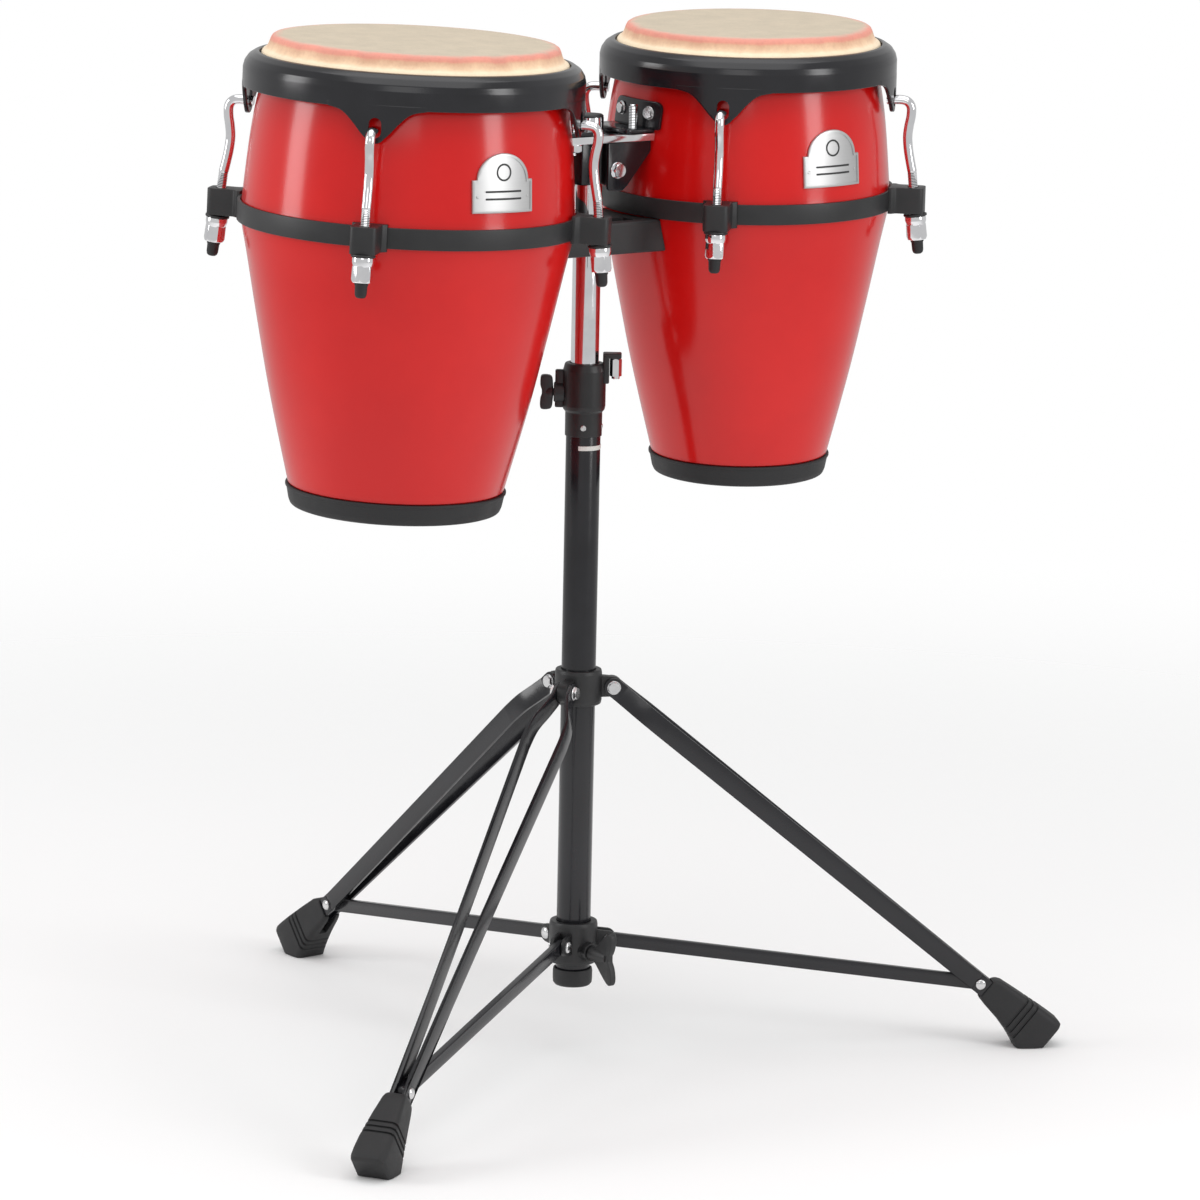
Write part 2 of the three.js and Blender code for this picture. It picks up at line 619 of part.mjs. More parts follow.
object.updateMatrixWorld(true);
const bounds = new THREE.Box3().setFromObject(object, true);
const middle = bounds.getCenter(new THREE.Vector3());
assembly.position.set(-middle.x, -middle.y, -bounds.min.z);

export default object;
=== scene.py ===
# %% [markdown]
# # A pair of small barrel drums on a folding stand
# Two drums with skin heads hang side by side on a chrome mast. The mast slides and turns in
# a black tube, which stands on three folding legs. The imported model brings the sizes, places
# and moving bodies. This lesson gives every part its finished shape and surface.

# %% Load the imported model
import json
import math

import bmesh
import bpy
from mathutils import Matrix, Vector, noise


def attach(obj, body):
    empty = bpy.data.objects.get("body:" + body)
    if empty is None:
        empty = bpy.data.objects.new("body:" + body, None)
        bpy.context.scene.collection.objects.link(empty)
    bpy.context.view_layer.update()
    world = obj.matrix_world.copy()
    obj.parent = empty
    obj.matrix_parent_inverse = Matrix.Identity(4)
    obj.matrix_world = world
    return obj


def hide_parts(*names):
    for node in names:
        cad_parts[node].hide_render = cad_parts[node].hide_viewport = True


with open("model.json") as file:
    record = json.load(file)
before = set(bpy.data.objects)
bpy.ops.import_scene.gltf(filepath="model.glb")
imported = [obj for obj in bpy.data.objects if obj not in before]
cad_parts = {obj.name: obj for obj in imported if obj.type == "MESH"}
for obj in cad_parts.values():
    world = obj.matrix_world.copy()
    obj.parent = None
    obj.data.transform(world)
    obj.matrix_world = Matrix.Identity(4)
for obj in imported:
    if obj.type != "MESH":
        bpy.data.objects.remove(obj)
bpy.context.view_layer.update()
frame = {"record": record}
MM = 0.001
JOINTS = {j["name"]: j for j in frame["record"]["behaviour"]["joints"]}

# %% [markdown]
# ## Places
# Everything hangs on the post axis, which is the axis that the mast turns about. Pieces could
# be drawn where they end up, but a leaning drum is awkward to draw. So each piece is made
# around its own origin, in the object's own millimetres, and then moved to its place with a
# matrix. A profile can then be read as a drawing.

# %% Driving sizes
POST = Vector((*JOINTS["mast_swivel"]["pos_m"][:2], 0))
TUBE_R, TUBE_LOW, TUBE_TOP = 13.7, 60, 548
MAST_R, MAST_LOW, MAST_TOP = 11.1, 292, 756
LEG_PIVOT, COLLAR_PIVOT, FOOT_PIVOT = (27.7, 301.3), (27.5, 93.9), (333.8, 52.1)
LEG_NAMES = ("front_right", "back", "front_left")
LEG_ANGLES = [math.radians(-28.4 + 120 * i) for i in range(3)]
DRUM_BASE_Z = 462.4
SMALLER = 12.7
DRUMS = {
    "large": {"x": -179.3, "smaller": 0.0, "to_post": 1},
    "small": {"x": 155.5, "smaller": SMALLER, "to_post": -1},
}
LEAN_IN, LEAN_FRONT, DRUM_TURN = math.radians(1.2), math.radians(1.5), math.radians(-2)
LUG_ANGLES = [math.radians(-135 + 90 * i) for i in range(4)]
ROD_R, ROD_SLOPE = 3.75, 0.1043
print("post axis at", tuple(round(v, 5) for v in POST))


# %% Places as matrices
def at_post(z=0.0, angle=0.0, radius=0.0):
    """A place at a height, turned about the post and moved out from it."""
    return (Matrix.Translation(POST) @ Matrix.Rotation(angle, 4, "Z")
            @ Matrix.Translation((radius * MM, 0, z * MM)))


def at_drum(side, angle=0.0):
    """A drum's own frame: the floor of its base ring, with Z along its leaning axis."""
    drum = DRUMS[side]
    base = POST + Vector((drum["x"], 0, DRUM_BASE_Z)) * MM
    return (Matrix.Translation(base) @ Matrix.Rotation(LEAN_FRONT, 4, "X")
            @ Matrix.Rotation(LEAN_IN * drum["to_post"], 4, "Y")
            @ Matrix.Rotation(DRUM_TURN + angle, 4, "Z"))


def along(pivot, target):
    """How far a link drops below level from its pivot, and its length."""
    run, fall = target[0] - pivot[0], pivot[1] - target[1]
    return math.atan2(fall, run), math.hypot(run, fall)


LEG_DROP, LEG_SPAN = along(LEG_PIVOT, FOOT_PIVOT)
STRUT_DROP, STRUT_SPAN = along(COLLAR_PIVOT, FOOT_PIVOT)
print("leg", round(LEG_SPAN, 1), "mm, strut", round(STRUT_SPAN, 1), "mm")

# %% [markdown]
# ## Tools for making shapes
# Most of this object is turned, bent from bar or cut from plate, so a few helpers make nearly
# all of it. Round parts are spun from a profile. Flat parts are outlines that are extruded and
# bevelled. A flat part that lies on a drum is cut into strips and bent round the shell. A spun
# part could also be bevelled afterwards, but its corners are rounded where they are drawn,
# because that gives each corner a radius of its own.


# %% Outline helpers
def fillet(points, radius, steps=4, closed=True):
    """Rounds the corners of an outline. A point may carry its own radius as a third value."""
    made = []
    count = len(points)
    for i, point in enumerate(points):
        corner = Vector(point[:2])
        size = point[2] if len(point) > 2 else radius
        if size <= 0 or (not closed and i in (0, count - 1)):
            made.append(tuple(corner))
            continue
        before = Vector(points[i - 1][:2]) - corner
        after = Vector(points[(i + 1) % count][:2]) - corner
        half = before.angle(after) / 2
        reach = min(size / max(math.tan(half), 0.05), before.length * 0.48, after.length * 0.48)
        start, end = corner + before.normalized() * reach, corner + after.normalized() * reach
        for k in range(steps + 1):
            t = k / steps
            made.append(tuple(start * (1 - t) ** 2 + corner * 2 * t * (1 - t) + end * t * t))
    return made


def arc(cx, cy, radius, start, end, steps):
    """Points of an arc between two angles in degrees."""
    angles = [math.radians(start + (end - start) * i / steps) for i in range(steps + 1)]
    return [(cx + radius * math.cos(a), cy + radius * math.sin(a)) for a in angles]


def spline(points, per_span=6):
    """A smooth line through a few points, with the same pull on each side of a point."""
    ends = [points[0], *points, points[-1]]
    made = []
    for a, b, c, d in zip(ends, ends[1:], ends[2:], ends[3:]):
        a, b, c, d = (Vector(p) for p in (a, b, c, d))
        for k in range(per_span):
            t = k / per_span
            made.append(tuple(0.5 * (2 * b + (c - a) * t + (2 * a - 5 * b + 4 * c - d) * t * t
                                     + (3 * b - a - 3 * c + d) * t ** 3)))
    return made + [tuple(points[-1])]


print("a filleted square has", len(fillet([(0, 0), (9, 0), (9, 9), (0, 9)], 2)), "points")


# %% Shape helpers
def turned(profile, steps=96, closed=True):
    """Spins a profile of (radius, height) points about Z."""
    bm = bmesh.new()
    verts = [bm.verts.new((r * MM, 0, z * MM)) for r, z in profile]
    pairs = list(zip(verts, verts[1:]))
    if closed:
        pairs.append((verts[-1], verts[0]))
    edges = [bm.edges.new(pair) for pair in pairs]
    bmesh.ops.spin(bm, geom=verts + edges, cent=(0, 0, 0), axis=(0, 0, 1), dvec=(0, 0, 0),
                   angle=2 * math.pi, steps=steps, use_merge=True, use_duplicate=False)
    bmesh.ops.remove_doubles(bm, verts=bm.verts, dist=1e-6)
    bmesh.ops.dissolve_degenerate(bm, edges=bm.edges, dist=1e-7)
    bmesh.ops.recalc_face_normals(bm, faces=bm.faces)
    return bm


def rod_shape(radius, low, high, edge=0.3, steps=32):
    """A round bar along Z with softened ends."""
    return turned([(0, low), (radius - edge, low), (radius, low + edge), (radius, high - edge),
                   (radius - edge, high), (0, high)], steps, closed=False)


def slab(outline, low, high, edge=0.0, segments=2):
    """Extrudes an outline from one height to another and bevels all its edges."""
    bm = bmesh.new()
    face = bm.faces.new([bm.verts.new((x * MM, y * MM, low * MM)) for x, y in outline])
    grown = bmesh.ops.extrude_face_region(bm, geom=[face])
    moved = [v for v in grown["geom"] if isinstance(v, bmesh.types.BMVert)]
    bmesh.ops.translate(bm, vec=(0, 0, (high - low) * MM), verts=moved)
    bmesh.ops.recalc_face_normals(bm, faces=bm.faces)
    return soften(bm, edge, 50, segments) if edge else bm


def soften(bm, width, angle=30, segments=2):
    """Bevels every edge that is sharper than an angle."""
    limit = math.radians(angle)
    sharp = [e for e in bm.edges if e.is_manifold and e.calc_face_angle(0) > limit]
    bmesh.ops.bevel(bm, geom=sharp, offset=width * MM, offset_type="OFFSET", affect="EDGES",
                    segments=segments, profile=0.5, material=-1, clamp_overlap=True)
    return bm


def block(low, high, edge=0.6, segments=2):
    """A box between two corners with bevelled edges."""
    x0, y0, z0 = low
    x1, y1, z1 = high
    return slab([(x0, y0), (x1, y0), (x1, y1), (x0, y1)], z0, z1, edge, segments)


def placed(bm, matrix):
    """Moves a whole shape."""
    bmesh.ops.transform(bm, matrix=matrix, verts=bm.verts)
    if matrix.determinant() < 0:
        bmesh.ops.reverse_faces(bm, faces=bm.faces)
    return bm


def moved(bm, x=0.0, y=0.0, z=0.0):
    return placed(bm, Matrix.Translation((x * MM, y * MM, z * MM)))


def tipped(bm, degrees, axis):
    return placed(bm, Matrix.Rotation(math.radians(degrees), 4, axis))


def joined(*shapes):
    """Puts several closed shapes in one mesh."""
    whole = bmesh.new()
    for bm in shapes:
        mesh = bpy.data.meshes.new("part")
        bm.to_mesh(mesh)
        bm.free()
        whole.from_mesh(mesh)
        bpy.data.meshes.remove(mesh)
    return whole


def upright(bm):
    """Stands an XY outline up, so that its Y becomes Z and its thickness runs along Y."""
    return tipped(bm, 90, "X")


print("a round bar has", len(rod_shape(3, 0, 9).faces), "faces")

# %% [markdown]
# Holes, slots and sockets could be drawn into every outline, but a slanted hole or a cut along
# a curved shell can't. So they are cut with a Boolean modifier. A helper puts two shapes in
# throwaway objects, applies the modifier and reads the result back, so that a cut can be used
# like any other step of the making. The hooked rods are bars that follow a curve.


# %% Cutting
def scratch(bm, name):
    mesh = bpy.data.meshes.new(name)
    bm.to_mesh(mesh)
    bm.free()
    thing = bpy.data.objects.new(name, mesh)
    bpy.context.scene.collection.objects.link(thing)
    return thing


def read_back(body, *tools):
    """The shape of a throwaway object with its modifiers applied."""
    bpy.context.view_layer.update()
    ready = body.evaluated_get(bpy.context.evaluated_depsgraph_get())
    result = bmesh.new()
    result.from_mesh(ready.to_mesh())
    ready.to_mesh_clear()
    for thing in (body, *tools):
        mesh = thing.data
        bpy.data.objects.remove(thing)
        bpy.data.meshes.remove(mesh)
    bmesh.ops.remove_doubles(result, verts=result.verts, dist=1e-6)
    return result


def cut(bm, *cutters, operation="DIFFERENCE"):
    """Cuts a shape with others, or keeps what is common to them."""
    body = scratch(bm, "body")
    tools = [scratch(cutter, "cutter") for cutter in cutters]
    for tool in tools:
        modifier = body.modifiers.new("cut", "BOOLEAN")
        modifier.operation = operation
        modifier.solver = "EXACT"
        modifier.object = tool
    return read_back(body, *tools)


def swept(points, radius, sides=24):
    """A round bar along a smooth line of (x, y, z) points."""
    curve = bpy.data.curves.new("route", "CURVE")
    curve.dimensions = "3D"
    curve.bevel_depth = radius * MM
    curve.bevel_resolution = sides // 4 - 1
    curve.use_fill_caps = True
    line = curve.splines.new("POLY")
    line.points.add(len(points) - 1)
    for spot, point in zip(line.points, points):
        spot.co = (*[v * MM for v in point], 1)
    thing = bpy.data.objects.new("route", curve)
    bpy.context.scene.collection.objects.link(thing)
    bpy.context.view_layer.update()
    ready = thing.evaluated_get(bpy.context.evaluated_depsgraph_get())
    bm = bmesh.new()
    bm.from_mesh(ready.to_mesh())
    ready.to_mesh_clear()
    bpy.data.objects.remove(thing)
    bpy.data.curves.remove(curve)
    bmesh.ops.remove_doubles(bm, verts=bm.verts, dist=1e-6)
    bmesh.ops.recalc_face_normals(bm, faces=bm.faces)
    return bm


def sliced(bm, axis, step, low, high):
    """Adds straight cuts across a shape, so that it can bend."""
    spot = low + step
    while spot < high:
        normal = Vector((1, 0, 0)) if axis == 0 else Vector((0, 0, 1))
        bmesh.ops.bisect_plane(bm, geom=bm.verts[:] + bm.edges[:] + bm.faces[:], dist=1e-7,
                               plane_co=normal * spot * MM, plane_no=normal)
        spot += step
    return bm


def wrapped(bm, radius_at, half_width, low, high, step=3.0):
    """Bends an upright flat shape round a drum: X runs round it, Y is the way out."""
    sliced(bm, 0, step, -half_width, half_width)
    sliced(bm, 2, step, low, high)
    for vert in bm.verts:
        base = radius_at(vert.co.z / MM) * MM
        turn = vert.co.x / base
        reach = base + vert.co.y
        vert.co.x, vert.co.y = reach * math.cos(turn), reach * math.sin(turn)
    bmesh.ops.recalc_face_normals(bm, faces=bm.faces)
    return bm


print("cut test:", len(cut(block((0, 0, 0), (9, 9, 9)), rod_shape(2, -5, 20)).faces), "faces")

# %% [markdown]
# ## Surface effects
# Powder coat, rubber and castings all have a fine grain, and no finish on the object is one
# even tone. Both effects could be built again in each material, but a change would then be
# made many times. So each is a node group that is built once. *Fine grain* is a small bump.
# *Mottle* drifts a colour and a roughness between two values. A group gives out only colours,
# values and normals, and the shader stays in the material.


# %% Group helpers
def socket(group, name, kind, into=True, value=None):
    made = group.interface.new_socket(
        name=name, in_out="INPUT" if into else "OUTPUT", socket_type=kind)
    if value is not None:
        made.default_value = value
    return made


def new_group(name):
    group = bpy.data.node_groups.new(name, "ShaderNodeTree")
    return group, group.nodes.new("NodeGroupInput"), group.nodes.new("NodeGroupOutput")


def add(tree, kind, **settings):
    node = tree.nodes.new(kind)
    for key, value in settings.items():
        setattr(node, key, value)
    return node


print("helpers for groups: socket, new_group, add")


# %% Fine grain
def make_grain():
    group, given, out = new_group("Fine grain")
    socket(group, "Scale", "NodeSocketFloat", value=900.0)
    socket(group, "Strength", "NodeSocketFloat", value=0.2)
    socket(group, "Normal", "NodeSocketVector", into=False)
    place = add(group, "ShaderNodeTexCoord")
    specks = add(group, "ShaderNodeTexNoise")
    specks.inputs["Detail"].default_value = 3.0
    bump = add(group, "ShaderNodeBump")
    bump.inputs["Distance"].default_value = 0.0004
    link = group.links.new
    link(place.outputs["Object"], specks.inputs["Vector"])
    link(given.outputs["Scale"], specks.inputs["Scale"])
    link(given.outputs["Strength"], bump.inputs["Strength"])
    link(specks.outputs["Fac"], bump.inputs["Height"])
    link(bump.outputs["Normal"], out.inputs["Normal"])
    return group


GRAIN = make_grain()
print("fine grain:", len(GRAIN.nodes), "nodes")


# %% Mottle
def make_mottle():
    group, given, out = new_group("Mottle")
    socket(group, "Scale", "NodeSocketFloat", value=30.0)
    socket(group, "Color A", "NodeSocketColor")
    socket(group, "Color B", "NodeSocketColor")
    socket(group, "Rough A", "NodeSocketFloat", value=0.3)
    socket(group, "Rough B", "NodeSocketFloat", value=0.5)
    socket(group, "Color", "NodeSocketColor", into=False)
    socket(group, "Roughness", "NodeSocketFloat", into=False)
    place = add(group, "ShaderNodeTexCoord")
    cloud = add(group, "ShaderNodeTexNoise")
    cloud.inputs["Detail"].default_value = 6.0
    cloud.inputs["Roughness"].default_value = 0.6
    spread = add(group, "ShaderNodeMapRange")
    spread.inputs["From Min"].default_value = 0.35
    spread.inputs["From Max"].default_value = 0.65
    tint = add(group, "ShaderNodeMix", data_type="RGBA")
    rough = add(group, "ShaderNodeMix", data_type="FLOAT")
    link = group.links.new
    link(place.outputs["Object"], cloud.inputs["Vector"])
    link(given.outputs["Scale"], cloud.inputs["Scale"])
    link(cloud.outputs["Fac"], spread.inputs["Value"])
    link(spread.outputs["Result"], tint.inputs["Factor"])
    link(spread.outputs["Result"], rough.inputs["Factor"])
    link(given.outputs["Color A"], tint.inputs["A"])
    link(given.outputs["Color B"], tint.inputs["B"])
    link(given.outputs["Rough A"], rough.inputs["A"])
    link(given.outputs["Rough B"], rough.inputs["B"])
    link(tint.outputs["Result"], out.inputs["Color"])
    link(rough.outputs["Result"], out.inputs["Roughness"])
    return group


MOTTLE = make_mottle()
print("groups:", [g.name for g in bpy.data.node_groups])


# %% Material helpers
def principled(name, **values):
    """A material with one Principled shader and its own constants."""
    material = bpy.data.materials.new(name)
    material.use_nodes = True
    shader = material.node_tree.nodes["Principled BSDF"]
    for key, value in values.items():
        shader.inputs[key.replace("_", " ")].default_value = value
    return material, shader


def use_group(material, group, **values):
    node = material.node_tree.nodes.new("ShaderNodeGroup")
    node.node_tree = group
    for key, value in values.items():
        node.inputs[key.replace("_", " ")].default_value = value
    return node


def coated(name, dark, pale, rough, scale=25.0, grain=900.0, depth=0.2, **values):
    """A plain finish that drifts between two tones and carries a fine grain."""
    material, shader = principled(name, **values)
    link = material.node_tree.links.new
    tone = use_group(material, MOTTLE, Scale=scale, Color_A=(*dark, 1), Color_B=(*pale, 1),
                     Rough_A=rough[0], Rough_B=rough[1])
    link(tone.outputs["Color"], shader.inputs["Base Color"])
    link(tone.outputs["Roughness"], shader.inputs["Roughness"])
    bump = use_group(material, GRAIN, Scale=grain, Strength=depth)
    link(bump.outputs["Normal"], shader.inputs["Normal"])
    return material


print("helpers for materials: principled, use_group, coated")

# %% [markdown]
# ## Finishes
# The stand is powder coated, which is smooth with a slight orange peel. Castings and moulded
# plastic are a little duller, rubber is matt, and chrome drifts slightly in gloss. They differ
# only in numbers, so one function makes them all: two tones, two roughnesses and a grain.

# %% Plain finishes
POWDER = coated("black powder coat", (0.009, 0.009, 0.011), (0.013, 0.013, 0.016), (0.17, 0.25),
                grain=700.0, depth=0.08, Specular_IOR_Level=0.5)
CASTING = coated("black casting", (0.010, 0.010, 0.011), (0.018, 0.018, 0.019), (0.36, 0.5),
                 grain=1300.0, depth=0.35)
MOULDED = coated("black moulded plastic", (0.014, 0.014, 0.015), (0.020, 0.020, 0.021),
                 (0.38, 0.5), grain=1600.0, depth=0.3)
RUBBER = coated("black rubber", (0.008, 0.008, 0.009), (0.014, 0.014, 0.015), (0.5, 0.66),
                scale=40.0, grain=1100.0, depth=0.45)
CHROME = coated("bright chrome", (0.78, 0.78, 0.80), (0.86, 0.86, 0.87), (0.05, 0.11),
                scale=60.0, grain=240.0, depth=0.015, Metallic=1.0)
ZINC = coated("zinc plate", (0.62, 0.62, 0.63), (0.76, 0.76, 0.76), (0.2, 0.32),
              scale=120.0, grain=900.0, depth=0.05, Metallic=1.0)
NYLON = coated("natural nylon", (0.60, 0.60, 0.57), (0.68, 0.68, 0.65), (0.42, 0.52))
print("finishes:", len(bpy.data.materials))

# %% [markdown]
# The drums are lacquered: a red coat under a clear one. One glossy shader would tint or blur
# its highlight with the red, so the Principled shader's coat carries the highlight over a
# duller base. The inside of a shell is taken to be bare fibre. It could be a second material,
# but an attribute on the mesh fades between the two in one, which needs no seam in the faces.

# %% Red lacquer
def make_lacquer():
    material, shader = principled("red lacquer", Coat_Roughness=0.16, Specular_IOR_Level=0.06)
    tree = material.node_tree
    link = tree.links.new
    tone = use_group(material, MOTTLE, Scale=9.0, Color_A=(0.60, 0.004, 0.004, 1),
                     Color_B=(0.66, 0.006, 0.005, 1), Rough_A=0.3, Rough_B=0.38)
    side = add(tree, "ShaderNodeAttribute", attribute_name="inside")
    tint = add(tree, "ShaderNodeMix", data_type="RGBA")
    tint.inputs["B"].default_value = (0.16, 0.10, 0.06, 1)
    rough = add(tree, "ShaderNodeMix", data_type="FLOAT")
    rough.inputs["B"].default_value = 0.8
    glaze = add(tree, "ShaderNodeMath", operation="SUBTRACT", use_clamp=True)
    glaze.inputs[0].default_value = 0.8
    bump = use_group(material, GRAIN, Scale=120.0, Strength=0.015)
    link(side.outputs["Fac"], tint.inputs["Factor"])
    link(side.outputs["Fac"], rough.inputs["Factor"])
    link(side.outputs["Fac"], glaze.inputs[1])
    link(tone.outputs["Color"], tint.inputs["A"])
    link(tone.outputs["Roughness"], rough.inputs["A"])
    link(tint.outputs["Result"], shader.inputs["Base Color"])
    link(rough.outputs["Result"], shader.inputs["Roughness"])
    link(glaze.outputs["Value"], shader.inputs["Coat Weight"])
    link(bump.outputs["Normal"], shader.inputs["Normal"])
    return material


LACQUER = make_lacquer()
print("red lacquer:", len(LACQUER.node_tree.nodes), "nodes")

# %% [markdown]
# The heads are natural skin. The playing surface is flat, dry and cream grey. Over the rim it
# turns pinker and blotchy, and where it was rolled wet round its hoop it is thick and pale.
# The tones could follow the height, but the drums lean. So the point attribute *zone* says how
# far out a point is: 0 on the flat, 1 on the edge, 2 on the slope and 3 on the roll. A colour
# ramp follows it, and a noise moves the tones' borders so that they aren't rings.


# %% Drum skin
def make_skin():
    material, shader = principled("natural drum skin", Specular_IOR_Level=0.35)
    tree = material.node_tree
    link = tree.links.new
    zone = add(tree, "ShaderNodeAttribute", attribute_name="zone")
    place = add(tree, "ShaderNodeTexCoord")
    blotch = add(tree, "ShaderNodeTexNoise")
    blotch.inputs["Scale"].default_value = 45.0
    blotch.inputs["Detail"].default_value = 8.0
    blotch.inputs["Roughness"].default_value = 0.65
    drift = add(tree, "ShaderNodeMath", operation="MULTIPLY_ADD")
    drift.inputs[1].default_value = 0.34
    third = add(tree, "ShaderNodeMath", operation="MULTIPLY")
    third.inputs[1].default_value = 1 / 3
    ramp = add(tree, "ShaderNodeValToRGB")
    stops = ((0.0, (0.60, 0.52, 0.40)), (0.29, (0.60, 0.51, 0.39)), (0.39, (0.72, 0.47, 0.37)),
             (0.52, (0.80, 0.32, 0.25)), (0.66, (0.82, 0.34, 0.25)), (0.76, (0.80, 0.48, 0.31)),
             (0.90, (0.92, 0.66, 0.44)), (1.0, (0.95, 0.78, 0.56)))
    while len(ramp.color_ramp.elements) < len(stops):
        ramp.color_ramp.elements.new(0.5)
    for element, (position, color) in zip(ramp.color_ramp.elements, stops):
        element.position = position
        element.color = (*color, 1)
    flecks = add(tree, "ShaderNodeTexVoronoi", feature="SMOOTH_F1")
    flecks.inputs["Scale"].default_value = 420.0
    pores = add(tree, "ShaderNodeMapRange")
    pores.inputs["From Min"].default_value = 0.0
    pores.inputs["From Max"].default_value = 0.45
    pores.inputs["To Min"].default_value = 0.92
    shade = add(tree, "ShaderNodeMix", data_type="RGBA", blend_type="MULTIPLY")
    shade.inputs["Factor"].default_value = 0.8
    fade = add(tree, "ShaderNodeMapRange")
    fade.inputs["From Min"].default_value = 0.3
    fade.inputs["From Max"].default_value = 0.7
    fade.inputs["To Min"].default_value = 0.90
    fade.inputs["To Max"].default_value = 1.05
    depth = add(tree, "ShaderNodeMix", data_type="RGBA", blend_type="MULTIPLY")
    depth.inputs["Factor"].default_value = 1.0
    dry = add(tree, "ShaderNodeMapRange")
    dry.inputs["From Max"].default_value = 3.0
    dry.inputs["To Min"].default_value = 0.62
    dry.inputs["To Max"].default_value = 0.42
    bump = add(tree, "ShaderNodeBump")
    bump.inputs["Strength"].default_value = 0.35
    bump.inputs["Distance"].default_value = 0.0006
    link(place.outputs["Object"], blotch.inputs["Vector"])
    link(place.outputs["Object"], flecks.inputs["Vector"])
    link(zone.outputs["Fac"], third.inputs[0])
    link(blotch.outputs["Fac"], drift.inputs[0])
    link(third.outputs["Value"], drift.inputs[2])
    link(drift.outputs["Value"], ramp.inputs["Fac"])
    link(blotch.outputs["Fac"], fade.inputs["Value"])
    link(flecks.outputs["Distance"], pores.inputs["Value"])
    link(ramp.outputs["Color"], shade.inputs["A"])
    link(pores.outputs["Result"], shade.inputs["B"])
    link(shade.outputs["Result"], depth.inputs["A"])
    link(fade.outputs["Result"], depth.inputs["B"])
    link(depth.outputs["Result"], shader.inputs["Base Color"])
    link(zone.outputs["Fac"], dry.inputs["Value"])
    link(dry.outputs["Result"], shader.inputs["Roughness"])
    link(blotch.outputs["Fac"], bump.inputs["Height"])
    link(bump.outputs["Normal"], shader.inputs["Normal"])
    return material


SKIN = make_skin()
print("drum skin:", len(SKIN.node_tree.nodes), "nodes")

# %% [markdown]
# The badges are bright plate that was brushed from side to side. An anisotropic shader would
# need a tangent for every face. A noise that is stretched along the brushing gives the same
# fine streaks in tone, gloss and normal, and it stays with the plate in every view.


# %% Brushed plate
def make_brushed():
    material, shader = principled("brushed bright plate", Metallic=1.0)
    tree = material.node_tree
    link = tree.links.new
    place = add(tree, "ShaderNodeTexCoord")
    stretch = add(tree, "ShaderNodeMapping")
    stretch.inputs["Scale"].default_value = (40.0, 40.0, 3600.0)
    lines = add(tree, "ShaderNodeTexNoise")
    lines.inputs["Scale"].default_value = 1.0
    lines.inputs["Detail"].default_value = 2.0
    rough = add(tree, "ShaderNodeMapRange")
    rough.inputs["To Min"].default_value = 0.34
    rough.inputs["To Max"].default_value = 0.44
    tone = add(tree, "ShaderNodeMapRange")
    tone.inputs["To Min"].default_value = 0.52
    tone.inputs["To Max"].default_value = 0.6
    bump = add(tree, "ShaderNodeBump")
    bump.inputs["Strength"].default_value = 0.03
    bump.inputs["Distance"].default_value = 0.0002
    link(place.outputs["Object"], stretch.inputs["Vector"])
    link(stretch.outputs["Vector"], lines.inputs["Vector"])
    link(lines.outputs["Fac"], rough.inputs["Value"])
    link(lines.outputs["Fac"], tone.inputs["Value"])
    link(lines.outputs["Fac"], bump.inputs["Height"])
    link(rough.outputs["Result"], shader.inputs["Roughness"])
    link(tone.outputs["Result"], shader.inputs["Base Color"])
    link(bump.outputs["Normal"], shader.inputs["Normal"])
    return material


BRUSHED = make_brushed()
print("materials:", [m.name for m in bpy.data.materials])

# %% [markdown]
# ## Finished pieces
# Each shape needs the same last steps, so one function does them all: it puts the shape in its
# place, smooths it, keeps true corners sharp, gives it its finish and body, and hides the
# imported nodes that it stands for. The place could be given to the object, but it is put in the
# mesh and the object stays at the origin, as the imported nodes do, so that patterns stay put.


# %% Making a piece
MADE = []


def piece(name, bm, finish, body, place=None, stands_for=(), corner=32):
    """A finished object from a shape."""
    if place is not None:
        placed(bm, place)
    limit = math.radians(corner)
    for face in bm.faces:
        face.smooth = True
    for edge in bm.edges:
        edge.smooth = not (edge.is_manifold and edge.calc_face_angle(0) > limit)
    mesh = bpy.data.meshes.new(name)
    bm.to_mesh(mesh)
    bm.free()
    mesh.materials.append(finish)
    thing = bpy.data.objects.new(name, mesh)
    bpy.context.scene.collection.objects.link(thing)
    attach(thing, body)
    if stands_for:
        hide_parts(*stands_for)
    MADE.append(thing)
    return thing


# %% [markdown]
# ## Camera
# A drum stand is tall and thin, and a wide lens close by would splay its legs. So the camera
# stands about four and a half metres away, front left and a little above, with a long lens.
# Its frame is built from its own right, up and look directions, with a small roll.

# %% Camera
LENS, SENSOR = 171.27, 36.0
DISTANCE, HEIGHT, SIDE_STEP = 4.447, 1.244, 0.0159
TURN, PITCH, ROLL = math.radians(36.5), math.radians(11.10), math.radians(1.19)


def add_camera():
    data = bpy.data.cameras.new("camera")
    data.sensor_width = SENSOR
    data.lens = LENS
    data.clip_end = 100.0
    camera = bpy.data.objects.new("camera", data)
    bpy.context.scene.collection.objects.link(camera)
    right = Vector((math.cos(TURN), -math.sin(TURN), 0))
    ahead = Vector((math.sin(TURN), math.cos(TURN), 0))
    look = ahead * math.cos(PITCH) - Vector((0, 0, math.sin(PITCH)))
    up = right.cross(look)
    tilted = right * math.cos(ROLL) + up * math.sin(ROLL)
    up = up * math.cos(ROLL) - right * math.sin(ROLL)
    spot = POST + right * SIDE_STEP - ahead * DISTANCE + Vector((0, 0, HEIGHT))
    basis = Matrix((tilted, up, -look)).transposed().to_4x4()
    camera.matrix_world = Matrix.Translation(spot) @ basis
    bpy.context.scene.camera = camera
    return camera


CAMERA = add_camera()
print("camera at", tuple(round(v, 3) for v in CAMERA.matrix_world.translation))

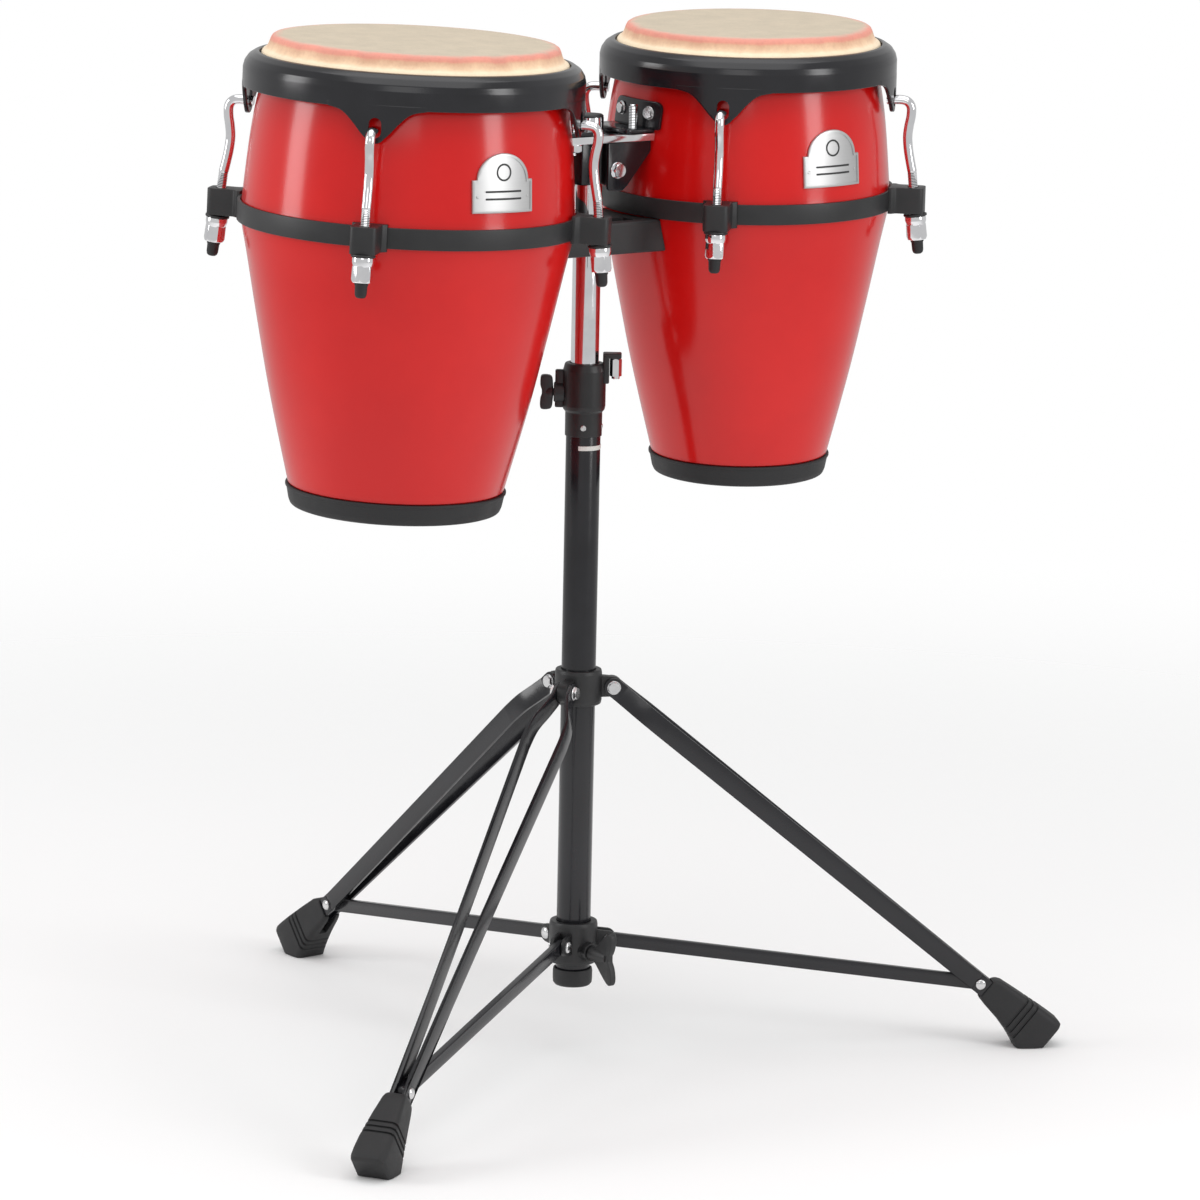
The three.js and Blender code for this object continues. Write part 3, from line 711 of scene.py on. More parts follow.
# %% [markdown]
# ## Drum shells
# A shell is a barrel: it swells slowly from the base ring to a belly at the band, turns
# there and draws in to the head. A stretched cylinder would give an even curve, and this one
# isn't even. So it is spun from one outline, drawn through nine stations, with a second
# outline a wall's thickness inside. A point attribute marks the inner face, which has no
# lacquer.

# %% Shell outline
WALL = 7.0
STATIONS = [(83.6, 18), (100, 85), (111.8, 141), (121.5, 190), (127.8, 222), (127.2, 240),
            (122.7, 289), (117.2, 322), (110.8, 350)]
OUTLINE = spline(STATIONS, 8)


def shell_radius(height, smaller=0.0):
    """The shell's outside radius at a height above its base."""
    for (r0, h0), (r1, h1) in zip(OUTLINE, OUTLINE[1:]):
        if height <= h1:
            return r0 + (r1 - r0) * (height - h0) / (h1 - h0) - smaller
    return OUTLINE[-1][0] - smaller


print("belly radius:", round(max(r for r, _ in OUTLINE), 1), "mm")


# %% Shells
def shell_shape(smaller):
    foot = fillet([(73.6, 5.0), (80.4, 5.0), (81.7, 17.0)], 1.0, closed=False)
    edge = arc(105.4, 354.4, 4.8, 10, 170, 10)
    inner = [(r - WALL, h) for r, h in reversed(OUTLINE[::2])]
    profile = [*foot, *OUTLINE, *edge, *inner]
    bm = turned([(r - smaller, h) for r, h in profile], 144)
    marks = bm.verts.layers.float.new("inside")
    for vert in bm.verts:
        radius, height = vert.co.xy.length / MM, vert.co.z / MM
        near_inner = radius < shell_radius(max(height, 18), smaller) - 0.6 * WALL
        vert[marks] = 1.0 if near_inner and height < 352 else 0.0
    return bm


for side, drum in DRUMS.items():
    shell = piece(f"{side}_shell", shell_shape(drum["smaller"]), LACQUER, "drums",
                  at_drum(side), [f"{side}_shell"])
    print(f"{side}_shell", len(shell.data.polygons), "faces")

# %% [markdown]
# ## Heads
# The skin is wetted, tucked round a flesh ring and pulled down over the bearing edge. Its top
# dries flat. The collar below the edge keeps faint pulls and wrinkles from the tucking, and
# the roll round the ring is lumpy. A bump in the material would leave the edge of the roll a
# perfect circle. So the profile is spun finely, and then each point is moved out or in by a
# little smooth noise, more on the roll than on the slope and none on the flat.


# %% Heads
CROWN = 31  # the middle of a head, where both drums share one profile


def head_shape(smaller):
    top = [(0, 361.6), (30, 361.6), (60, 361.62), (85, 361.7), (98, 361.8), (105.0, 361.75)]
    edge = [(107.6, 361.3), (109.3, 360.2), (110.3, 358.4)]
    slope = [(111.0, 356.4), (111.8, 354.0), (112.9, 351.9), (114.4, 350.4)]
    roll = [(115.9, 349.5), (117.1, 348.0), (117.6, 346.0), (117.5, 343.6), (117.0, 341.4),
            (116.4, 339.2)]
    under = [(115.4, 339.0), (114.6, 342.6), (111.7, 350.2), (109.2, 357.4), (105.8, 359.8),
             (0, 359.8)]
    zones = [0, 0, 0, 0, 0.15, 0.6, 0.9, 1.1, 1.4, 1.8, 2.0, 2.2, 2.5] + [3.0] * 12
    profile = [*top, *edge, *slope, *roll, *under]
    shifted = [(r - smaller if r > CROWN else r, h) for r, h in profile]
    bm = turned(shifted, 240, closed=False)
    marks = bm.verts.layers.float.new("zone")
    for vert in bm.verts:
        radius, height = vert.co.xy.length / MM + smaller, vert.co.z / MM
        gaps = [math.hypot(radius - r, height - h) for r, h in profile]
        zone = zones[gaps.index(min(gaps))] if radius > CROWN else 0
        vert[marks] = zone
        if zone > 1.0 and height > 338:
            spot = vert.co * 55 + Vector((0, 0, 7 * smaller))
            pull = noise.noise(spot) * 0.45 + noise.noise(vert.co * 190) * 0.2
            out = Vector((vert.co.x, vert.co.y, 0)).normalized()
            vert.co += out * pull * MM * (zone - 1.0) * 0.35
            vert.co.z += pull * 0.3 * MM * (zone - 1.0) * 0.5
    return bm


for side, drum in DRUMS.items():
    head = piece(f"{side}_head", head_shape(drum["smaller"]), SKIN, "drums",
                 at_drum(side), [f"{side}_head"], corner=60)
    print(f"{side}_head", len(head.data.polygons), "faces")

# %% [markdown]
# ## Hoops
# The hoop is the black rim that pulls the skin down. Its wall stands upright, rolls in over
# the skin so that hands don't meet an edge, and ends in a rounded lip. Under each tension rod
# it grows a pointed plate with a hole for the rod's hook. The rim is spun. The plates could be
# cut out of a deeper rim, but their swept sides are easier to draw flat. So a plate is a flat
# outline, which is bevelled, drilled, cut in strips and bent to the rim.

# %% Hoops
HOOP_R, HOOP_LOW, HOOP_WALL = 130.7, 322.2, 3.5


def hoop_rim(smaller):
    radius = HOOP_R - smaller
    outside = [(radius, HOOP_LOW, 0.8), (radius, 336, 3), (radius - 1.1, 340.5, 4),
               (radius - 4.1, 345, 4), (radius - 8.7, 347.9, 3), (radius - 12.0, 348.7, 1.2)]
    inside = [(radius - 12.4, 345.3, 1.2), (radius - 9.3, 344.4, 1), (radius - 5.5, 341.4, 2),
              (radius - HOOP_WALL - 0.2, 336.5, 2), (radius - HOOP_WALL, HOOP_LOW, 0.8)]
    return turned(fillet([*outside, *inside], 1.0, 4), 168)


def hoop_plate(smaller):
    tip = arc(0, 305.0, 8.6, 212, 328, 10)
    right = spline([tip[-1], (11.6, 304.6), (19.5, 313.4), (27.5, 319.6), (38.5, 322.0)], 5)
    left = [(-x, z) for x, z in reversed(right)]
    outline = [(39.5, 326), (-39.5, 326), *left[:-1], *tip[:-1], *right]
    flat = upright(slab(outline, -0.1, HOOP_WALL - 0.3, 0.7, 2))
    hole = upright(slab(arc(0, 305.6, 4.9, 180, 360, 12) + arc(0, 311.0, 4.9, 0, 180, 12), -20, 20))
    drilled = cut(flat, hole)
    radius = HOOP_R - smaller
    return wrapped(drilled, lambda height: radius, 42, 295, 330, 2.5)


def hoop_shape(smaller):
    plates = [tipped(hoop_plate(smaller), math.degrees(angle), "Z") for angle in LUG_ANGLES]
    return joined(hoop_rim(smaller), *plates)


for side, drum in DRUMS.items():
    hoop = piece(f"{side}_hoop", hoop_shape(drum["smaller"]), POWDER, "drums",
                 at_drum(side), [f"{side}_hoop"])
    print(f"{side}_hoop", len(hoop.data.polygons), "faces")

# %% [markdown]
# ## Belly bands and lugs
# A flat steel band grips the belly. Four lug blocks on it take the pull of the rods. Each
# block is a moulded box with a rounded front and a shoulder where it meets the band. Its rod
# leans out a little as it goes down. A box with bevels would lack the shoulder, so the block's
# outline is drawn from above and extruded, and a leaning hole is cut through it. One block is
# made and turned to the four places.

# %% Bands
BAND_R, BAND_LOW, BAND_HIGH = 131.0, 219.0, 234.8
LUG_LOW, LUG_HIGH, LUG_REACH = 216.8, 237.4, 157.0


def rod_radius(height, smaller=0.0):
    """How far a rod's straight lower end is from the drum's axis."""
    return 148.2 - smaller + (232 - height) * ROD_SLOPE


def leaning(bm, height, smaller):
    """Moves a shape from the origin to a rod's lower end, leaning as the rod does."""
    tipped(bm, -math.degrees(math.atan(ROD_SLOPE)), "Y")
    return moved(bm, rod_radius(height, smaller), 0, height)


def lug_block(smaller):
    radius, reach = BAND_R - smaller, LUG_REACH - smaller
    outline = fillet([(radius - 1.5, -13.5, 0.5), (radius + 1.4, -13.5, 1.2),
                      (radius + 4.5, -10, 2.5), (reach, -10, 4.5), (reach, 10, 4.5),
                      (radius + 4.5, 10, 2.5), (radius + 1.4, 13.5, 1.2),
                      (radius - 1.5, 13.5, 0.5)], 1, 4)
    body = slab(outline, LUG_LOW, LUG_HIGH, 1.0, 3)
    hole = leaning(rod_shape(ROD_R + 0.7, -30, 30), 227, smaller)
    return cut(body, hole)


def band_shape(smaller):
    radius = BAND_R - smaller
    profile = fillet([(radius - 2.6, BAND_LOW), (radius, BAND_LOW), (radius, BAND_HIGH),
                      (radius - 2.6, BAND_HIGH)], 0.7, 3)
    lugs = [tipped(lug_block(smaller), math.degrees(angle), "Z") for angle in LUG_ANGLES]
    return joined(turned(profile, 168), *lugs)


for side, drum in DRUMS.items():
    band = piece(f"{side}_band", band_shape(drum["smaller"]), MOULDED, "drums",
                 at_drum(side), [f"{side}_band"])
    print(f"{side}_band", len(band.data.polygons), "faces")

# %% [markdown]
# ## Base rings
# A rubber ring protects the open lower edge of the shell. Its foot is rounded, its wall
# leans with the shell, and a thin bead finishes its upper edge. A torus could stand in for
# it, but the foot and the bead are what is seen, so its whole section is drawn and spun.


# %% Base rings
def base_ring_shape(smaller):
    profile = [(72.5, 0.2, 1), (77.6, 0.0, 3), (81.0, 1.2, 3), (82.5, 5.0, 1), (84.4, 14.6, 0.4),
               (85.3, 15.0, 0.6), (85.4, 17.0, 0.8), (82.7, 17.2, 0.3), (81.3, 4.7, 0.3),
               (72.5, 4.7, 1)]
    return turned(fillet([(r - smaller, h, k) for r, h, k in profile], 1, 4), 144)


for side, drum in DRUMS.items():
    piece(f"{side}_base_ring", base_ring_shape(drum["smaller"]), RUBBER, "drums",
          at_drum(side), [f"{side}_base_ring"])
print("base rings made")

# %% [markdown]
# ## Tension rods, nuts and tips
# Each rod hooks through a hoop plate, swings out in a swan neck and runs down straight
# through its lug. The bend is a round bar swept along a smooth line. A true thread is a helix,
# but at this size its slope can't be seen, so the straight end is spun with a row of ridges,
# which gives the same glints for few faces.

# %% Rods
THREAD_PITCH, THREAD_DEPTH = 1.25, 0.32
ROD_JOIN, ROD_END = 250.0, 187.5


def rod_bend(smaller):
    points = [(124.8, 305.8), (131, 306.2), (136.9, 306.2), (141.4, 304.8), (144.2, 300.6),
              (144.2, 293.5), (142.8, 285.5), (142.0, 277), (142.9, 267), (144.8, 257)]
    tail = [(rod_radius(ROD_JOIN), ROD_JOIN)]
    route = spline([*points, *tail], 6)
    return swept([(r - smaller, 0, h) for r, h in route], ROD_R, 24)


def rod_thread(smaller):
    low, high = ROD_END - 227.0, ROD_JOIN - 227.0 + 1.0
    profile = [(0, low), (ROD_R - 0.8, low)]
    height = low + 0.6
    while height < high - 1.0:
        profile += [(ROD_R - THREAD_DEPTH, height), (ROD_R, height + 0.45 * THREAD_PITCH)]
        height += THREAD_PITCH
    profile += [(ROD_R, high), (0, high)]
    return leaning(turned(profile, 28, closed=False), 227.0, smaller)


def washer(smaller):
    profile = fillet([(4.3, -0.9), (9.3, -0.9), (9.3, 0.9), (4.3, 0.9)], 0.5, 2)
    return leaning(turned(profile, 40), 215.2, smaller)


for side, drum in DRUMS.items():
    smaller = drum["smaller"]
    for i, angle in enumerate(LUG_ANGLES, 1):
        place = at_drum(side, angle)
        piece(f"{side}_rod_{i}", joined(rod_bend(smaller), rod_thread(smaller)), CHROME, "drums",
              place, [f"{side}_rod_{i}"], corner=45)
        piece(f"{side}_rod_washer_{i}", washer(smaller), MOULDED, "drums", place)
print("rods made:", 8)

# %% [markdown]
# Below each lug sit a washer, a chrome nut that tapers down from a round collar to a six-sided
# grip, and a rubber tip that covers the end of the thread. A six-sided prism alone would have
# knife edges, so it is cut to what it shares with a turned taper, as a lathe does it.

# %% Nuts and tips
NUT_TOP, NUT_LOW = 214.2, 195.4


def nut_shape(smaller):
    """A round collar, a tapered waist and a six-sided grip, with a hole for the rod."""
    middle = 0.5 * (NUT_TOP + NUT_LOW)
    half = 0.5 * (NUT_TOP - NUT_LOW)
    collar = turned(fillet([(4.2, half - 7), (7.4, half - 7), (8.4, half - 3.4), (8.4, half),
                            (4.2, half)], 0.6, 3), 48)
    grip = slab(arc(0, 0, 8.3, 0, 300, 5), -half, half - 6.4, 0.0)
    taper = turned(fillet([(3.9, -half - 1), (6.2, -half - 1), (7.4, -half + 0.5),
                           (8.2, -half + 2.5), (7.9, half - 6), (3.9, half - 5)], 0.3, 2), 48)
    hexed = cut(grip, taper, operation="INTERSECT")
    return leaning(joined(collar, hexed), middle, smaller)


def tip_shape(smaller):
    profile = [(0, -11.2), (2.6, -11.0), (3.9, -10.0), (4.5, -8.0), (4.7, -2.0), (5.2, -1.2),
               (5.2, 0), (0, 0)]
    return leaning(turned(profile, 32, closed=False), NUT_LOW - 0.3, smaller)


for side, drum in DRUMS.items():
    smaller = drum["smaller"]
    for i, angle in enumerate(LUG_ANGLES, 1):
        place = at_drum(side, angle)
        piece(f"{side}_nut_{i}", nut_shape(smaller), CHROME, f"{side}_nut_{i}", place,
              [f"{side}_nut_{i}"])
        piece(f"{side}_rod_tip_{i}", tip_shape(smaller), RUBBER, "drums", place, corner=50)
print("nuts and tips made:", 16)

# %% [markdown]
# ## Badges
# A small arch-topped shield is fixed to the front of each shell. It is bright brushed sheet
# with a raised border, two pins and black marks, and here the marks are a plain ring over two
# lines. They could be colours on the plate, but real edges catch the light. So everything is
# modelled flat, and then wrapped to the shell, whose curve isn't a cylinder's.


# %% Badges
BADGE_FACING = -88.8


def badge_outline(inset=0.0):
    """A wide foot with a narrower dome on it."""
    foot, dome_half, crest = 27.0 - inset, 23.0 - inset, 19.7
    low, step = 246.8 + inset, 271.5 - inset
    top = [(dome_half * math.cos(a), step + crest * math.sin(a))
           for a in [math.pi * k / 28 for k in range(29)]]
    return [(-foot, low), (foot, low), (foot, step), *top, (-foot, step)]


def badge_shape(smaller):
    def radius(height):
        return shell_radius(height, smaller) + 0.15

    plate = upright(slab(badge_outline(), -1.0, 0, 0.3, 2))
    border = cut(upright(slab(badge_outline(0.2), -1.7, -0.2, 0.3, 2)),
                 upright(slab(badge_outline(2.0), -5, 5)))
    pins = [moved(tipped(rod_shape(1.2, -1.6, -0.2, 0.4, 20), 90, "X"), x, 0, 259)
            for x in (-22.4, 22.4)]
    ring = cut(upright(slab(arc(0, 277, 6.6, 0, 352.5, 47), -1.15, -0.4)),
               upright(slab(arc(0, 277, 5.2, 0, 352.5, 47), -5, 5)))
    lines = [upright(slab(fillet([(-16, z), (16, z), (16, z + 1.5), (-16, z + 1.5)], 0.6), -1.15,
                          -0.4)) for z in (256.5, 262.0)]
    bright, marks = joined(plate, border, *pins), joined(ring, *lines)
    return [tipped(wrapped(shape, radius, 28, 246, 293, 3.0), BADGE_FACING, "Z")
            for shape in (bright, marks)]


for side, drum in DRUMS.items():
    bright, marks = badge_shape(drum["smaller"])
    piece(f"{side}_badge", bright, BRUSHED, "drums", at_drum(side), [f"{side}_badge"])
    piece(f"{side}_badge_marks", marks, MOULDED, "drums", at_drum(side))
print("badges made")

# %% [markdown]
# ## Drum holder
# Above the drums' bands a chrome shelf is fixed across the mast. Each drum has a black
# bracket whose flange lies on the shelf over a threaded stud. Two tapered arms hold the shelf
# from below, and lower down a moulded block keeps the shells apart. The shelf, the block and
# the flanges follow the shells. Those curves could be drawn by hand, but the drums lean, so a
# solid of each shell with some room round it is cut from a plain plate instead.

# %% Holder sizes
SHELF_LOW, SHELF_THICK = 738.3, 6.0
STUD_X, STUD_Y, STUD_TOP = {"large": -28.0, "small": 30.0}, -17.0, 766.0
BLOCK_LOW, BLOCK_HIGH, BLOCK_HALF = 652.0, 677.5, 40.0


def shell_room(side, clearance):
    """The space that a shell takes, in the stand's frame, with a clearance round it."""
    smaller = DRUMS[side]["smaller"]
    outline = [(r - smaller + clearance, h) for r, h in OUTLINE if h > 120]
    profile = [(0, outline[0][1]), *outline, (0, outline[-1][1])]
    bm = placed(turned(profile, 144, closed=False), at_drum(side))
    return placed(bm, Matrix.Translation(-POST))


def clear_of_shells(bm, clearance=0.9):
    return cut(bm, shell_room("large", clearance), shell_room("small", clearance))


def mast_hole(radius=MAST_R + 0.25):
    return rod_shape(radius, 600, 800, 0.1, 64)


# %% Shelf and block
def shelf_shape():
    outline = fillet([(-58, -31), (54, -31), (54, 31), (-58, 31)], 4, 4)
    shelf = slab(outline, SHELF_LOW, SHELF_LOW + SHELF_THICK, 0.7, 2)
    studs = [moved(rod_shape(4.1, 700, 800), STUD_X[side], STUD_Y) for side in DRUMS]
    return clear_of_shells(cut(shelf, mast_hole(), *studs))


def bridge_shape():
    outline = fillet([(-80, -BLOCK_HALF), (80, -BLOCK_HALF), (80, BLOCK_HALF), (-80, BLOCK_HALF)],
                     4, 4)
    body = clear_of_shells(slab(outline, BLOCK_LOW, BLOCK_HIGH, 1.8, 4))
    pocket = slab(fillet([(-26, 17), (22, 17), (22, 33), (-26, 33)], 3, 4), 671, 690)
    mirrored = slab(fillet([(-26, -33), (22, -33), (22, -17), (-26, -17)], 3, 4), 671, 690)
    return cut(body, mast_hole(), pocket, mirrored)


piece("drum_shelf", shelf_shape(), CHROME, "drums", at_post(), ["shelf_plate"])
piece("spacer_block", bridge_shape(), MOULDED, "drums", at_post(), ["bridge_block"])
print("shelf and block made")

# %% [markdown]
# Each arm is a plate with one slanted edge, on a root that closes round the mast. Each could be
# drawn on its own, but they are taken to be one shape turned half round, so one function makes
# both, with only their reach changed.


# %% Arms
ARM_LOW = 700.0


def arm_shape(reach):
    low, top = ARM_LOW, SHELF_LOW - 0.3
    profile = fillet([(-2, low + 1, 3), (12, low, 3), (17, low + 4, 4), (reach, top - 8, 5),
                      (reach, top, 1), (-2, top, 1)], 1, 4)
    side = moved(upright(slab(profile, 0, 3, 0.5, 2)), y=-25.5)
    root = block((2, -26, low + 4), (17, 14, top), 1.2, 3)
    return side, cut(root, mast_hole())


for side, reach, turn in (("small", 39, 0), ("large", 47, 180)):
    cheek, root = arm_shape(reach)
    tipped(cheek, turn, "Z")
    tipped(root, turn, "Z")
    shape = clear_of_shells(joined(cheek, root))
    piece(f"holder_arm_{side}", shape, POWDER, "drums", at_post(), [f"holder_arm_{side}"])
print("arms made")

# %% [markdown]
# Two threaded studs rise through the shelf and the brackets, with their heads below, and a bolt
# closes each arm. A bolt head is a six-sided bar whose corners were turned off, so it is made
# in the same two steps: a prism, kept only where a turned shape is.


# %% Bolts of the holder
def hex_head(across, thick):
    """A six-sided head with a turned chamfer, standing on Z = 0."""
    corner = across / math.sqrt(3)
    prism = slab(arc(0, 0, corner, 0, 300, 5), 0, thick)
    chamfer = turned([(0, -0.1), (corner - 0.2, -0.1), (corner + 0.1, 0.5),
                      (corner + 0.1, thick - 1.0), (corner * 0.86, thick), (0, thick)],
                     48, closed=False)
    return cut(prism, chamfer, operation="INTERSECT")


def threaded(radius, low, high, pitch=1.25, depth=0.35, steps=28):
    """A stud with ridges for its thread and a chamfered end."""
    profile = [(0, low), (radius, low)]
    height = low + 0.3
    while height < high - 1.6:
        profile += [(radius - depth, height), (radius, height + 0.45 * pitch)]
        height += pitch
    profile += [(radius - depth, high - 1.0), (radius - 1.2, high), (0, high)]
    return turned(profile, steps, closed=False)


def stud_shape():
    under = SHELF_LOW - 0.3
    nut = moved(tipped(hex_head(13, 6.5), 180, "X"), z=under)
    flange = turned(fillet([(3.6, under - 1.4), (7.8, under - 1.4), (7.8, under), (3.6, under)],
                           0.4, 2), 40)
    return joined(threaded(3.75, under - 9, STUD_TOP), nut, flange)


for side in DRUMS:
    piece(f"holder_stud_{side}", moved(stud_shape(), STUD_X[side], STUD_Y), CHROME, "drums",
          at_post(), [f"holder_stud_{side}"])
for side, turn in (("small", 0), ("large", 180)):
    bolt = tipped(joined(hex_head(10, 4.4), rod_shape(6.6, -0.1, 0.9, 0.3)), 90, "X")
    bolt = tipped(moved(bolt, 6.8, -28.6, 716.5), turn, "Z")
    piece(f"arm_bolt_{side}", bolt, CHROME, "drums", at_post())
print("holder bolts made")

# %% [markdown]
# A bracket is bent plate: a curved pad that is bolted to the shell and a flange that lies on
# the shelf. One bent sheet would have to follow a leaning barrel and a level shelf at once.
# So the pad is wrapped round the shell in the drum's own frame, the flange is a level plate
# cut to the shell, and the two meet along its edge.


# %% Drum brackets
BRACKET_BOLT_Z, BRACKET_BOLT_TURN = 300, 9.0


def bracket_shape(side):
    """A curved pad on the shell and a flange that lies on the shelf, over its stud."""
    drum = DRUMS[side]
    smaller, to_post = drum["smaller"], drum["to_post"]
    pad_outline = fillet([(-29, 287.5, 2), (29, 287.5, 2), (29, 309, 8), (-29, 309, 8)], 2, 5)
    pad = upright(slab(pad_outline, -3.2, -0.4, 0.6, 2))
    pad = wrapped(pad, lambda height: shell_radius(height, smaller), 30, 284, 318, 3.0)
    facing = (0 if to_post > 0 else 180) - math.degrees(DRUM_TURN)
    tipped(pad, facing, "Z")
    bolts = []
    for turn in (-BRACKET_BOLT_TURN, BRACKET_BOLT_TURN):
        head = joined(tipped(hex_head(8, 3.2), 90, "Y"),
                      tipped(rod_shape(5.4, 0, 0.8, 0.2), 90, "Y"))
        moved(head, shell_radius(BRACKET_BOLT_Z, smaller) + 3.2, 0, BRACKET_BOLT_Z)
        bolts.append(tipped(head, facing + turn, "Z"))
    placed(pad, at_drum(side))
    for head in bolts:
        placed(head, at_drum(side))
    low = SHELF_LOW + SHELF_THICK + 0.3
    near, far = 14.0 * -to_post, (drum["x"] + 100 * to_post)
    left, right = min(near, far), max(near, far)
    flange = slab(fillet([(left, -30), (right, -30), (right, 30), (left, 30)], 4, 4), low, low + 3,
                  0.5, 2)
    flange = cut(flange, moved(rod_shape(4.4, 700, 800), STUD_X[side], STUD_Y),
                 shell_room(side, 0.5))
    return joined(pad, placed(flange, at_post())), bolts


for side in DRUMS:
    shape, heads = bracket_shape(side)
    piece(f"{side}_bracket", shape, POWDER, "drums", None, [f"{side}_bracket"])
    piece(f"{side}_bracket_bolts", joined(*heads), ZINC, "drums")
print("brackets made")

# %% [markdown]
# ## Mast, tube and bush
# The mast is plain chromed tube with a plug in its open top. It runs in a nylon bush in the
# mouth of the black tube. The tube ends below in a rubber cap. Solid cylinders would look the
# same from outside, but the mast lifts and turns, so tubes and bush have their real walls.


# %% Mast and tube
def tube_shape(inner, outer, low, high, steps=96):
    return turned(fillet([(inner, low), (outer, low), (outer, high), (inner, high)], 0.4, 2), steps)


piece("mast", tube_shape(MAST_R - 1.5, MAST_R, MAST_LOW, MAST_TOP), CHROME, "drums", at_post(),
      ["mast"])
plug = turned([(0, MAST_TOP - 12), (MAST_R - 1.7, MAST_TOP - 12), (MAST_R - 1.7, MAST_TOP + 0.1),
               (MAST_R - 0.2, MAST_TOP + 0.1), (MAST_R - 0.2, MAST_TOP + 1.2),
               (MAST_R - 1.4, MAST_TOP + 2.2), (0, MAST_TOP + 2.8)], 64, closed=False)
piece("mast_plug", plug, MOULDED, "drums", at_post())
piece("outer_tube", tube_shape(TUBE_R - 1.2, TUBE_R, TUBE_LOW, TUBE_TOP), POWDER, "stand",
      at_post(), ["outer_tube"])
bush = turned(fillet([(MAST_R + 0.15, 506), (12.15, 506), (12.15, 548.3), (13.4, 548.3),
                      (13.4, 551), (MAST_R + 0.15, 551)], 0.3, 2), 72)
piece("mast_bush", bush, NYLON, "bush", at_post(), ["mast_bush"])
cap = turned([(0, 56.5), (11.5, 56.5), (14.2, 57.2), (15.6, 59.0), (15.9, 62), (15.9, 68.6),
              (15.5, 70.6), (14.6, 71), (14.0, 70.6), (14.0, 59.7), (0, 59.7)], 72, closed=False)
piece("tube_end_cap", cap, RUBBER, "stand", at_post(), ["tube_end_cap"], corner=50)
print("tubes made")

# %% [markdown]
# A thin pale strip is laid part of the way round the tube below the clamp, and two small
# screws hold the clamp's sleeve. The strip could be a band of colour in the tube's material,
# but it is a layer with an edge, so it is a slab between two arcs.

# %% Strip and set screws
STRIP_LOW, STRIP_HIGH, SET_SCREW_Z = 493.4, 497.0, 511.5
strip_outline = arc(0, 0, 14.0, -142, -20, 40) + arc(0, 0, 13.5, -20, -142, 40)
strip = slab(strip_outline, STRIP_LOW, STRIP_HIGH, 0.12)
piece("tube_strip", strip, NYLON, "stand", at_post())
set_screws = []
for degrees in (-126.5, -40.0):
    screw = joined(rod_shape(2.2, 13.9, 15.0, 0.3), rod_shape(1.3, 14.9, 15.3, 0.2))
    set_screws.append(tipped(moved(tipped(screw, 90, "Y"), z=SET_SCREW_Z), degrees, "Z"))
piece("sleeve_set_screws", joined(*set_screws), ZINC, "stand", at_post())
print("strip and set screws made")

# %% [markdown]
# ## Clamp and its screws
# The clamp is a casting over the mouth of the tube. It has a long sleeve below, a boss and a
# rib for a wing screw, and a lug with a roof that shields a chrome key bolt. One body with
# rounded inner corners would need every joint filleted. So the parts are made apart with
# rounded edges and sit into each other, as the webs of a casting do.

# %% Clamp
CLAMP_SCREW_Z, CLAMP_SCREW_TURN, KEY_TURN = 538.0, 143.5, -36.5


def clamp_shape():
    sleeve = turned(fillet([(14.0, 504, 0.2), (14.6, 504, 0.3), (14.7, 523, 1), (16.4, 525, 1.5),
                            (17.0, 528, 1.5), (17.0, 556, 2), (15.4, 562, 2), (11.9, 562, 0.6),
                            (11.9, 551.3, 0.3), (14.0, 551.3, 0.3)], 0.5, 4), 96)
    boss = tipped(rod_shape(8, 15, 24, 0.8, 40), 90, "Y")
    boss = tipped(moved(boss, z=CLAMP_SCREW_Z), CLAMP_SCREW_TURN, "Z")
    rib = tipped(block((14.6, -3, 526), (23, 3, 556), 1.2, 3), CLAMP_SCREW_TURN, "Z")
    lug = block((14.3, -6.5, 546), (19.5, 6.5, 569), 1.2, 3)
    roof = block((14.3, -6.5, 566), (29, 6.5, 570), 1.2, 3)
    shield = joined(tipped(lug, KEY_TURN, "Z"), tipped(roof, KEY_TURN, "Z"))
    return joined(sleeve, boss, rib, shield)


piece("mast_clamp", clamp_shape(), CASTING, "stand", at_post(), ["mast_clamp"])
key = joined(moved(hex_head(8.3, 14.0), 24.5, 0, 551.6), moved(rod_shape(3.2, 549.4, 553), 24.5))
key_place = at_post(angle=math.radians(KEY_TURN))
piece("clamp_key_bolt", key, CHROME, "stand", key_place, ["clamp_key_bolt"])
print("clamp made")

# %% [markdown]
# Both wing screws have a stem, a round moulded hub and two wings. They could be sculpted, but
# the wings are flat, so one wing's edge is drawn through a few points, mirrored, extruded and
# bevelled. The collar's screw has longer, swept wings than the clamp's.


# %% Wing screws
def dome(radius, height):
    """A low rivet head on Z = 0."""
    rise = [(radius * math.cos(a), height * (0.25 + 0.75 * math.sin(a)))
            for a in [math.pi / 2 * k / 8 for k in range(9)]]
    return turned([(0, 0), (radius, 0), *rise[:-1], (0, height)], 40, closed=False)


def wing_screw(shank, reach, head_long, lobe, thick):
    """A screw along X with a round hub and two wings, whose outline is given for one wing."""
    line = spline(lobe, 5)
    outline = line + [(x, -z) for x, z in reversed(line)]
    wings = upright(slab(outline, -thick, thick, 1.2, 3))
    hub_profile = [(0, reach), (5.2, reach), (6.0, reach + 0.8), (5.6, reach + head_long * 0.5),
                   (4.2, reach + head_long * 0.85), (0, reach + head_long * 0.9)]
    hub = tipped(turned(hub_profile, 40, closed=False), 90, "Y")
    stem = tipped(rod_shape(shank, 0, reach + 1, 0.4), 90, "Y")
    return joined(wings, hub, stem)


